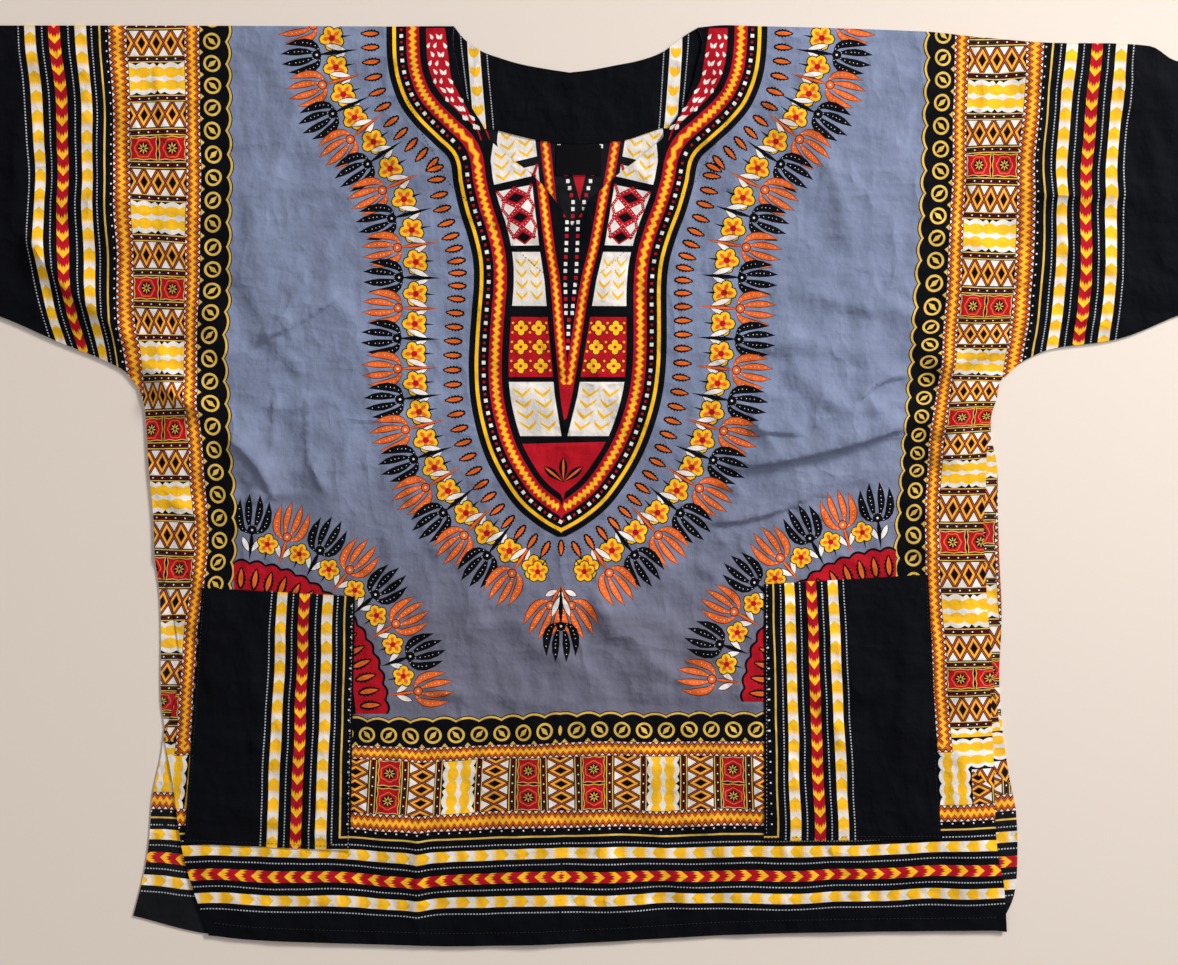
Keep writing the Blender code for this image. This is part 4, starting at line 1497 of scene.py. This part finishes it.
@dataclass
class Meshed:
    """Triangles that fill an outline, with the shapes of a drawing cut into them."""

    outline: np.ndarray
    spacing: float
    drawing: Drawing = field(default_factory=Drawing)
    more: np.ndarray = field(default_factory=lambda: np.zeros((0, 2)))

    def fill(self, lines: Sequence[np.ndarray] = ()) -> tuple[np.ndarray, np.ndarray]:
        """Cuts the piece into triangles.

        Args:
            lines: Closed lines that stay edges of the triangles.

        Returns:
            The points, and three point numbers for each triangle.
        """
        low, high = self.outline.min(axis=0), self.outline.max(axis=0)
        rows = []
        for row, down in enumerate(np.arange(low[1], high[1], self.spacing * 0.866)):
            shift = 0.5 * self.spacing if row % 2 else 0.0
            across = np.arange(low[0] + shift, high[0], self.spacing)
            rows.append(np.stack([across, np.full(len(across), down)], axis=1))
        grid = np.concatenate([*rows, self.more])
        grid = grid[inside(grid, self.outline)]
        grid = grid[distance(grid, self.outline, ring=True) > self.spacing * 0.5]
        points = [self.outline, *lines, grid]
        edges = []
        first = 0
        for line in (self.outline, *lines):
            edges.extend((first + k, first + (k + 1) % len(line)) for k in range(len(line)))
            first += len(line)
        first += len(grid)
        for shape, _ in self.drawing.shapes:
            points.append(shape)
            edges.extend((first + k, first + (k + 1) % len(shape)) for k in range(len(shape)))
            first += len(shape)
        flat = [Vector(point) for point in np.concatenate(points)]
        found, _, faces, _, _, _ = delaunay_2d_cdt(flat, edges, [], 0, 1e-3, False)
        found = np.array([tuple(point) for point in found])
        faces = np.array([face for face in faces if len(face) == 3])
        faces = faces[inside(found[faces].mean(axis=1), self.outline)]
        used, faces = np.unique(faces, return_inverse=True)
        faces = faces.reshape(-1, 3)
        found = found[used]
        a, b, c = found[faces[:, 0]], found[faces[:, 1]], found[faces[:, 2]]
        turn = (b[:, 0] - a[:, 0]) * (c[:, 1] - a[:, 1]) - (b[:, 1] - a[:, 1]) * (c[:, 0] - a[:, 0])
        faces[turn > 0] = faces[turn > 0][:, ::-1]
        return found, faces

    def inks(self, middles: np.ndarray) -> np.ndarray:
        """The ink on each face, by its middle.

        Args:
            middles: The middle of each face.

        Returns:
            Red, green, blue and cover, one row a face.
        """
        color = np.zeros((len(middles), 4))
        order = np.argsort(middles[:, 0])
        sorted_x = middles[order, 0]
        for shape, ink in self.drawing.shapes:
            low, high = shape.min(axis=0), shape.max(axis=0)
            near = order[np.searchsorted(sorted_x, low[0]):np.searchsorted(sorted_x, high[0])]
            near = near[(middles[near, 1] > low[1]) & (middles[near, 1] < high[1])]
            if len(near):
                hit = near[inside(middles[near], shape)]
                color[hit] = (*ink.value, 1.0)
        return color

    @staticmethod
    def rim(faces: np.ndarray) -> list[int]:
        """The point numbers round the outer edge, in the order of the faces that touch it.

        Args:
            faces: Three point numbers for each triangle.

        Returns:
            The point numbers.
        """
        walked = {}
        for a, b, c in faces.tolist():
            for start, end in ((a, b), (b, c), (c, a)):
                walked[(start, end)] = True
        following = {start: end for start, end in walked if (end, start) not in walked}
        loop = [next(iter(following))]
        while following[loop[-1]] != loop[0] and len(loop) <= len(following):
            loop.append(following[loop[-1]])
        return loop


class ClothPiece:
    """Makes one closed shell of cloth with its print."""

    def __init__(self, name: str, materials: Sequence[bpy.types.Material]) -> None:
        """Keeps the piece's name and its materials, by face set."""
        self.name = name
        self.materials = materials

    def build(self, tops: tuple, unders: tuple) -> bpy.types.Object:
        """Joins an upper and an under sheet along their edge.

        Args:
            tops: Points with heights, faces, flat places, face set and ink of the upper sheet.
            unders: The same for the under sheet.

        Returns:
            The piece.
        """
        (p1, f1, uv1, set1, ink1), (p2, f2, uv2, set2, ink2) = tops, unders
        rim1, rim2 = Meshed.rim(f1), Meshed.rim(f2)
        place2 = {(round(x, 3), round(y, 3)): k for k, (x, y, _) in enumerate(p2[rim2])}
        start = place2.get(tuple(np.round(p1[rim1[0], :2], 3)), 0)
        rim2 = rim2[start:] + rim2[:start]
        count = len(p1)
        faces = [f1, (f2 + count)[:, ::-1]]
        if len(rim1) == len(rim2):
            a, b = np.array(rim1), np.roll(rim1, -1)
            c, d = np.array(rim2) + count, np.roll(rim2, -1) + count
            faces += [np.stack([b, a, c], axis=1), np.stack([b, c, d], axis=1)]
        else:
            log.warning("%s: the rims have %d and %d points", self.name, len(rim1), len(rim2))
        edge = sum(len(part) for part in faces[2:])
        every = np.concatenate(faces)
        points = np.concatenate([p1, p2])
        flats = np.concatenate([uv1, uv2])
        mesh = bpy.data.meshes.new(self.name)
        mesh.vertices.add(len(points))
        placed = np.stack([points[:, 0] * MM, (LENGTH / 2.0 - points[:, 1]) * MM, points[:, 2] * MM], axis=1)
        mesh.vertices.foreach_set("co", placed.ravel())
        mesh.loops.add(every.size)
        mesh.loops.foreach_set("vertex_index", every.ravel().astype(np.int32))
        mesh.polygons.add(len(every))
        mesh.polygons.foreach_set("loop_start", np.arange(0, every.size, 3, dtype=np.int32))
        mesh.update(calc_edges=True)
        for material in self.materials:
            mesh.materials.append(material)
        near = set1[self.first_face(f1, rim1)] if edge else np.zeros(0, dtype=int)
        sets = np.concatenate([set1, set2, np.tile(near, 2)]) if edge else np.concatenate([set1, set2])
        mesh.polygons.foreach_set("material_index", sets.astype(np.int32))
        uv = mesh.uv_layers.new(name="cloth")
        uv.data.foreach_set("uv", (flats[every.ravel()] * MM).ravel())
        ink = np.concatenate([ink1, ink2, np.zeros((edge, 4))])
        layer = mesh.color_attributes.new("ink", "FLOAT_COLOR", "CORNER")
        layer.data.foreach_set("color", np.repeat(ink, 3, axis=0).ravel())
        mesh.validate()
        mesh.shade_smooth()
        mesh.set_sharp_from_angle(angle=math.radians(50.0))
        piece = bpy.data.objects.new(self.name, mesh)
        bpy.context.scene.collection.objects.link(piece)
        log.info("%s: %d triangles", self.name, len(every))
        return piece

    @staticmethod
    def first_face(faces: np.ndarray, rim: Sequence[int]) -> np.ndarray:
        """The face that touches each edge of the rim."""
        owner = {}
        for index, (a, b, c) in enumerate(faces.tolist()):
            owner[(a, b)] = owner[(b, c)] = owner[(c, a)] = index
        return np.array([owner[(rim[k], rim[(k + 1) % len(rim)])] for k in range(len(rim))])


def stitch_tree(thread: bpy.types.Material) -> bpy.types.NodeTree:
    """Nodes that lay a row of stitches along a line of edges.

    Args:
        thread: The thread's material.

    Returns:
        The tree, with Pitch, Length and Radius as inputs.
    """
    tree = bpy.data.node_groups.new("row_of_stitches", "GeometryNodeTree")
    tree.interface.new_socket("Geometry", in_out="INPUT", socket_type="NodeSocketGeometry")
    for label in ("Pitch", "Length", "Radius"):
        tree.interface.new_socket(label, in_out="INPUT", socket_type="NodeSocketFloat")
    tree.interface.new_socket("Geometry", in_out="OUTPUT", socket_type="NodeSocketGeometry")
    nodes, links = tree.nodes, tree.links
    entry = nodes.new("NodeGroupInput")
    line = nodes.new("GeometryNodeMeshToCurve")
    links.new(entry.outputs["Geometry"], line.inputs["Mesh"])
    spaced = nodes.new("GeometryNodeResampleCurve")
    spaced.mode = "LENGTH"
    links.new(line.outputs[0], spaced.inputs["Curve"])
    links.new(entry.outputs["Pitch"], spaced.inputs["Length"])
    grain = nodes.new("GeometryNodeMeshIcoSphere")
    grain.inputs["Radius"].default_value = 1.0
    grain.inputs["Subdivisions"].default_value = 1
    size = nodes.new("ShaderNodeCombineXYZ")
    links.new(entry.outputs["Length"], size.inputs["X"])
    links.new(entry.outputs["Radius"], size.inputs["Y"])
    links.new(entry.outputs["Radius"], size.inputs["Z"])
    tangent = nodes.new("GeometryNodeInputTangent")
    align = nodes.new("FunctionNodeAlignRotationToVector")
    align.axis = "X"
    links.new(tangent.outputs[0], align.inputs["Vector"])
    row = nodes.new("GeometryNodeInstanceOnPoints")
    links.new(spaced.outputs[0], row.inputs["Points"])
    links.new(grain.outputs[0], row.inputs["Instance"])
    links.new(align.outputs[0], row.inputs["Rotation"])
    links.new(size.outputs[0], row.inputs["Scale"])
    real = nodes.new("GeometryNodeRealizeInstances")
    links.new(row.outputs[0], real.inputs[0])
    smooth = nodes.new("GeometryNodeSetShadeSmooth")
    links.new(real.outputs[0], smooth.inputs[0])
    finish = nodes.new("GeometryNodeSetMaterial")
    finish.inputs["Material"].default_value = thread
    links.new(smooth.outputs[0], finish.inputs["Geometry"])
    links.new(finish.outputs[0], nodes.new("NodeGroupOutput").inputs[0])
    return tree


@dataclass
class Stitching:
    """Rows of stitches in one thread."""

    name: str
    thread: PlainFinish
    pitch: float = 3.1
    length: float = 0.95
    radius: float = 0.26

    def sew(self, lines: Sequence[np.ndarray]) -> bpy.types.Object:
        """Lays stitches along lines on the cloth.

        Args:
            lines: Points across, down and up, in millimetres, one array a row of stitches.

        Returns:
            The stitches as one plain mesh.
        """
        points, edges = [], []
        for line in lines:
            edges.extend((len(points) + k, len(points) + k + 1) for k in range(len(line) - 1))
            points.extend((x * MM, (LENGTH / 2.0 - y) * MM, z * MM) for x, y, z in line)
        mesh = bpy.data.meshes.new(self.name + "_lines")
        mesh.from_pydata(points, edges, [])
        guide = bpy.data.objects.new(self.name + "_lines", mesh)
        bpy.context.scene.collection.objects.link(guide)
        modifier = guide.modifiers.new("stitches", "NODES")
        modifier.node_group = stitch_tree(self.thread.material())
        sizes = {"Pitch": self.pitch * MM, "Length": self.length * MM, "Radius": self.radius * MM}
        for item in modifier.node_group.interface.items_tree:
            if item.in_out == "INPUT" and item.name in sizes:
                modifier[item.identifier] = sizes[item.name]
        depsgraph = bpy.context.evaluated_depsgraph_get()
        plain = bpy.data.meshes.new_from_object(guide.evaluated_get(depsgraph))
        plain.name = self.name
        piece = bpy.data.objects.new(self.name, plain)
        bpy.context.scene.collection.objects.link(piece)
        bpy.data.objects.remove(guide, do_unlink=True)
        log.info("%s: %d faces", self.name, len(plain.polygons))
        return piece


def finish_piece(piece: bpy.types.Object, node: str = "") -> None:
    """Attaches a piece to the root body, and hides the solid that it replaces, if any.

    Args:
        piece: The piece.
        node: The solid that it replaces, if any.
    """
    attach(piece, "root")
    if node:
        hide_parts(node)


@dataclass
class Shirt:
    """The whole garment."""

    grid: float = 5.0
    under_grid: float = 7.0
    back_grid: float = 11.0

    def __post_init__(self) -> None:
        """Prepares the outlines, the drape, the print and the finishes."""
        body = [SHOULDER_RIGHT, CUFF_RIGHT, SLEEVE_RIGHT, SIDE_RIGHT]
        end = [SIDE_LEFT, SLEEVE_LEFT, CUFF_LEFT]
        self.front_edge = joined(
            [SHOULDER_LEFT, FRONT_NECK_LEFT, FRONT_SLIT_LEFT, FRONT_SLIT_RIGHT, FRONT_NECK_RIGHT, *body,
             FRONT_SEAM_RIGHT, FRONT_VENT_RIGHT, FRONT_HEM, FRONT_VENT_LEFT, FRONT_SEAM_LEFT, *end], 5.0)
        self.back_edge = joined(
            [SHOULDER_LEFT, BACK_NECK_LEFT, BACK_NECK_RIGHT, *body, BACK_SIDE_RIGHT, BACK_VENT_RIGHT,
             BACK_HEM, BACK_VENT_LEFT, BACK_SIDE_LEFT, *end], 6.0)
        self.facing_edge = joined(
            [[(-104, 2), (-92, 1)], BACK_NECK_LEFT, BACK_NECK_RIGHT, [(110, 2), (123, 3)],
             FACING_END_RIGHT, FACING_LOWER, FACING_END_LEFT], 5.0)
        self.drape = Drape(self.facing_edge, self.front_edge)
        self.map = ClothMap()
        self.print = FrontPrint(STRIP_HALF).drawing
        self.back_print = self.raised(FrontPrint(BACK_STRIP_HALF).drawing, 17.0)
        works = PrintWorks()
        outer = (Pattern.GROUND, Pattern.BORDER, Pattern.STRIPES)
        self.outside = [PrintedCotton(f"{p.value}_print", p).material(works) for p in outer]
        self.inside = [PrintedCotton(f"{p.value}_inside", p, fade=0.012).material(works) for p in outer]
        self.black = PrintedCotton("black_cotton", Pattern.PLAIN, Ink.BLACK, unevenness=0.3).material(works)
        self.stripe = self.outside[2]
        self.satin = PlainFinish("black_satin", (0.002, 0.002, 0.003), 0.5, specular=0.08).material()

    @staticmethod
    def raised(drawing: Drawing, rise: float) -> Drawing:
        """The print of the panel that is cut a little higher, easing to level above the pockets.

        Args:
            drawing: The shapes.
            rise: How much higher they lie at the neck, in millimetres.

        Returns:
            The moved shapes.
        """
        moved = Drawing()
        for shape, ink in drawing.shapes:
            if np.ptp(shape, axis=0).max() > 1.8:
                moved.add(shape + np.array([5.0, -rise]) * ease((430.0 - shape[:, 1:]) / 260.0), ink)
        moved.add([at(571, 168), at(587, 168), at(579.5, 200)], Ink.RED)
        return moved

    def back_flat(self, points: np.ndarray) -> np.ndarray:
        """The place on the flat cloth of each point of the back, whose hem print lies higher at its ends.

        Args:
            points: The points, across and down in millimetres.

        Returns:
            The places, one a row.
        """
        flat = self.map.flat(points)
        dips = np.interp(points[:, 0] / STEP + MIDDLE_STEP, *BACK_HEM_DIP)
        low = ease((points[:, 1] - 520.0) / 110.0)
        flat[:, 1] += dips * STEP * low
        flat[:, 0] -= 9.0 * low * np.sign(points[:, 0]) * ease(np.abs(points[:, 0]) / 200.0)
        return flat

    def sets(self, flat: np.ndarray, faces: np.ndarray) -> np.ndarray:
        """Which part of the print each face shows."""
        out = ClothMap.border(flat[faces].mean(axis=1))
        return np.where(out < 4.4, 0, np.where(out < 111.8, 1, 2))

    def front(self) -> bpy.types.Object:
        """The front panel, with its folds and the print cut into its upper sheet."""
        top = Meshed(self.front_edge, self.grid, self.print, self.drape.pleat_points())
        points, faces = top.fill()
        rim = points[Meshed.rim(faces)]
        under_points, under_faces = Meshed(rim[::-1], self.under_grid, more=top.more).fill()
        heights = self.drape.underside(points)
        low = self.drape.underside(under_points) - 0.2 * ease(distance(under_points, rim, ring=True) / 25.0)
        low = low - 0.2 * np.maximum(low - FRONT_UNDER - 0.5, 0.0)
        flat = self.map.flat(points)
        tops = (np.column_stack([points, heights + CLOTH]), faces, flat, self.sets(flat, faces),
                top.inks(points[faces].mean(axis=1)))
        flat_under = self.map.flat(under_points)
        unders = (np.column_stack([under_points, low]), under_faces, flat_under,
                  self.sets(flat_under, under_faces), np.zeros((len(under_faces), 4)))
        piece = ClothPiece("front", self.outside).build(tops, unders)
        finish_piece(piece, "front_panel")
        return piece

    def back(self) -> bpy.types.Object:
        """The back panel, flat, printed on both faces."""
        both = Meshed(self.back_edge, self.back_grid, self.back_print)
        points, faces = both.fill()
        flat = self.back_flat(points)
        sets = self.sets(flat, faces)
        ink = both.inks(points[faces].mean(axis=1))
        swell = 0.12 * np.abs(field_noise(points, 40.0, 2.2))
        tops = (np.column_stack([points, np.full(len(points), BACK_TOP) - swell]), faces, flat, sets, ink)
        unders = (np.column_stack([points, np.zeros(len(points))]), faces, flat, sets + 3, ink)
        piece = ClothPiece("back", [*self.inside, *self.outside]).build(tops, unders)
        finish_piece(piece, "back_panel")
        return piece

    def pocket(self, name: str, corners: Rows, lines: tuple) -> bpy.types.Object:
        """A patch pocket with the selvedge stripes running down it.

        Args:
            name: The piece's name.
            corners: Its corners, from the top left round.
            lines: Rows of down, then where the stripes' outer and inner lines cross, in print steps.

        Returns:
            The pocket.
        """
        outline = closed(corners, 5.0)
        mesh = Meshed(outline, self.grid)
        points, faces = mesh.fill()
        base = self.drape.underside(points) + CLOTH
        rim = distance(points, outline, ring=True)
        mouth = distance(points, np.array(corners[:2], dtype=float))
        puff = 1.1 * ease((mouth * -1.0 + 60.0) / 60.0) * ease(rim / 30.0) + 0.5 * ease(rim / 25.0)
        crumpled = 1.2 * np.abs(field_noise(points, 34.0, 4.4)) + 0.8 * Drape.wrinkles(points)
        puff = puff + crumpled * ease(rim / 12.0)
        under = base + 0.4 + puff
        thick = CLOTH * (0.8 + 0.35 * ease((14.0 - mouth) / 2.0) * ease(rim / 2.0))
        (down0, outer0, inner0), (down1, outer1, inner1) = lines
        share = (points[:, 1] / STEP + TOP_STEP - down0) / (down1 - down0)
        place = points[:, 0] / STEP + MIDDLE_STEP
        outer_line, inner_line = outer0 + (outer1 - outer0) * share, inner0 + (inner1 - inner0) * share
        out = 176.0 + (place - outer_line) / (inner_line - outer_line) * (103.0 - 176.0)
        flat = np.stack([288.0 + np.maximum(out, 100.8) + field_noise(points, 40.0, 6.0), points[:, 1]], axis=1)
        sets = np.zeros(len(faces), dtype=int)
        none = np.zeros((len(faces), 4))
        piece = ClothPiece(name, [self.stripe]).build(
            (np.column_stack([points, under + thick]), faces, flat, sets, none),
            (np.column_stack([points, under]), faces, flat, sets, none))
        finish_piece(piece, name.replace("patch_", ""))
        return piece

    def facing(self) -> bpy.types.Object:
        """The black facing round the back neck, with two striped strips."""
        drawing = Drawing()
        for strip in FACING_STRIPS:
            line = Path(smooth_edge([at(*row) for row in strip], 6.0))
            drawing.ribbon(line.points, 5.1, Ink.WHITE)
            for length in np.arange(2.0, line.lengths[-1] - 8, 16.0):
                middle, out = line.spot(length)
                along = np.array([out[1], -out[0]])
                drawing.add([middle + out * a + along * b for a, b in (
                    (-4.4, 0), (-3.2, 2.2), (-2.2, 0.4), (-1.0, 2.8), (0, 1.0), (1.0, 2.8), (2.2, 0.4), (3.2, 2.2),
                    (4.4, 0), (4.4, 5.5), (2.2, 8.6), (0, 10.0), (-2.2, 8.6), (-4.4, 5.5))], Ink.GOLD)
        for row in FACING_DOTS:
            line = Path(smooth_edge([at(*place) for place in row], 6.0))
            for length in np.arange(0.0, line.lengths[-1], 2.2):
                x, y = line.spot(length)[0]
                drawing.add([(x - 0.45, y - 0.65), (x + 0.45, y - 0.65), (x + 0.45, y + 0.65), (x - 0.45, y + 0.65)],
                            Ink.GREY)
        mesh = Meshed(self.facing_edge, 5.0, drawing)
        points, faces = mesh.fill()
        rise = 0.25 * np.abs(field_noise(points, 26.0, 8.1))
        seam = 0.35 * np.exp(-((points[:, 0] - 7.5) / 1.4) ** 2)
        sets = np.zeros(len(faces), dtype=int)
        ink = mesh.inks(points[faces].mean(axis=1))
        under = 0.95 + rise
        piece = ClothPiece("facing", [self.black]).build(
            (np.column_stack([points, under + 0.7 + seam]), faces, points, sets, ink),
            (np.column_stack([points, under]), faces, points, sets, ink))
        finish_piece(piece, "neck_facing")
        return piece

    def label(self) -> bpy.types.Object:
        """The bare woven label under the facing's edge."""
        outline = closed(LABEL, 3.0)
        points, faces = Meshed(outline, 3.0).fill()
        lift = 0.95 + 0.5 * ((points[:, 1] - 99.0) / 25.0) + 0.3 * np.sin((points[:, 0] + 7.5) / 12.0)
        sets = np.zeros(len(faces), dtype=int)
        none = np.zeros((len(faces), 4))
        piece = ClothPiece("label", [self.satin]).build(
            (np.column_stack([points, lift + 0.45]), faces, points, sets, none),
            (np.column_stack([points, lift]), faces, points, sets, none))
        finish_piece(piece, "neck_label")
        return piece

    def on_front(self, line: np.ndarray, lift: float) -> np.ndarray:
        """A line laid on the front at a lift above its upper side."""
        return np.column_stack([line, self.drape.underside(line) + CLOTH + lift])

    def sewing(self) -> list[bpy.types.Object]:
        """The visible rows of stitches."""
        dark, pale = [], []
        for side in (-1, 1):
            rows = [(-157, 101), (-140, 139), (-130, 155), (-117, 181), (-105, 194), (-46, 251), (-21, 273), (6, 285)]
            line = steps([(565 + (7 + (x - 7) * -side if side == 1 else x), y) for x, y in rows])
            dark.append(self.on_front(smooth_edge(line.tolist(), 4.0), 0.1))
        for corners in (POCKET_LEFT, POCKET_RIGHT):
            a, b, c, d = (np.array(corner, dtype=float) for corner in corners)
            middle = (a + b + c + d) / 4.0
            inset = [corner + (middle - corner) / np.linalg.norm(middle - corner) * 3.6 for corner in (a, d, c, b)]
            inner = inset[2:] if corners is POCKET_LEFT else inset[:2]
            for p, q in zip(inset, inset[1:]):
                rows = dark if (p is not inner[0]) else pale
                rows.append(self.on_pocket(smooth_edge([tuple(p), tuple(q)], 4.0)))
            dark.append(self.on_pocket(smooth_edge([tuple(a + (2, 11.5)), tuple(b + (-2, 11.5))], 4.0)))
        hem = smooth_edge([(x, d - 11.0) for x, d in FRONT_HEM[1:]], 6.0)
        dark.append(self.on_front(hem, 0.1))
        made = []
        for name, thread, lines in (
                ("dark_stitches", PlainFinish("dark_thread", (0.012, 0.012, 0.016), 0.6), dark),
                ("pale_stitches", PlainFinish("pale_thread", (0.42, 0.42, 0.45), 0.6), pale)):
            piece = Stitching(name, thread).sew(lines)
            finish_piece(piece)
            made.append(piece)
        return made

    def on_pocket(self, line: np.ndarray) -> np.ndarray:
        """A line laid on a pocket's edge."""
        return np.column_stack([line, self.drape.underside(line) + 2.0 * CLOTH + 0.62])

    def build(self) -> None:
        """Builds every piece in the order it lies."""
        self.back()
        self.facing()
        self.label()
        self.front()
        self.pocket("patch_pocket_left", POCKET_LEFT, ((600, 271.9, 351.4), (840, 260.5, 346.0)))
        self.pocket("patch_pocket_right", POCKET_RIGHT, ((600, 844.0, 767.0), (835, 854.8, 771.5)))
        self.sewing()


@dataclass
class Studio:
    """The floor, the lights and the camera."""

    view_centre: tuple[float, float] = (0.0199, 0.0028)
    lens: float = 50.0
    width: float = 0.978

    def floor(self) -> None:
        """A plain pale floor."""
        finish = PlainFinish("pale_floor", linear(226, 212, 199), 0.9).material()
        mesh = bpy.data.meshes.new("floor")
        reach = 6.0
        mesh.from_pydata([(-reach, -reach, -0.0004), (reach, -reach, -0.0004), (reach, reach, -0.0004),
                          (-reach, reach, -0.0004)], [], [(0, 1, 2, 3)])
        mesh.materials.append(finish)
        floor = bpy.data.objects.new("floor", mesh)
        bpy.context.scene.collection.objects.link(floor)

    @staticmethod
    def light(name: str, place: Sequence[float], size: float, power: float, tint: Sequence[float]) -> None:
        """One soft lamp that points at the garment.

        Args:
            name: The lamp's name.
            place: Where it stands.
            size: Its width.
            power: Its power in watts.
            tint: Its colour.
        """
        data = bpy.data.lights.new(name, "AREA")
        data.shape = "DISK"
        data.size = size
        data.energy = power
        data.color = tint
        lamp = bpy.data.objects.new(name, data)
        lamp.location = place
        lamp.rotation_mode = "QUATERNION"
        lamp.rotation_quaternion = (-Vector(place)).to_track_quat("-Z", "Y")
        bpy.context.scene.collection.objects.link(lamp)

    def build(self) -> None:
        """Sets up the whole studio."""
        self.floor()
        self.light("window", (3.9, 3.4, 2.4), 1.2, 368.0, (1.0, 0.985, 0.97))
        self.light("near_window", (0.75, 0.35, 0.75), 0.4, 3.2, (0.93, 0.97, 1.0))
        self.light("fill", (-1.8, -0.4, 2.4), 2.2, 13.0, (1.0, 0.95, 0.9))
        world = bpy.data.worlds.new("soft_room")
        world.use_nodes = True
        world.node_tree.nodes["Background"].inputs["Color"].default_value = (0.92, 0.94, 1.0, 1.0)
        world.node_tree.nodes["Background"].inputs["Strength"].default_value = 0.285
        bpy.context.scene.world = world
        data = bpy.data.cameras.new("camera")
        data.lens = self.lens
        data.sensor_width = 36.0
        camera = bpy.data.objects.new("camera", data)
        height = self.width * self.lens / 36.0
        camera.location = (*self.view_centre, height + 0.003)
        bpy.context.scene.collection.objects.link(camera)
        bpy.context.scene.camera = camera


def main() -> None:
    """Builds the shirt, whose pieces log their numbers of faces, and the studio."""
    logging.basicConfig(level=logging.INFO, format="%(name)s: %(message)s")
    Shirt().build()
    Studio().build()
    bpy.context.scene.view_settings.view_transform = "Standard"


if __name__ == "__main__":
    main()
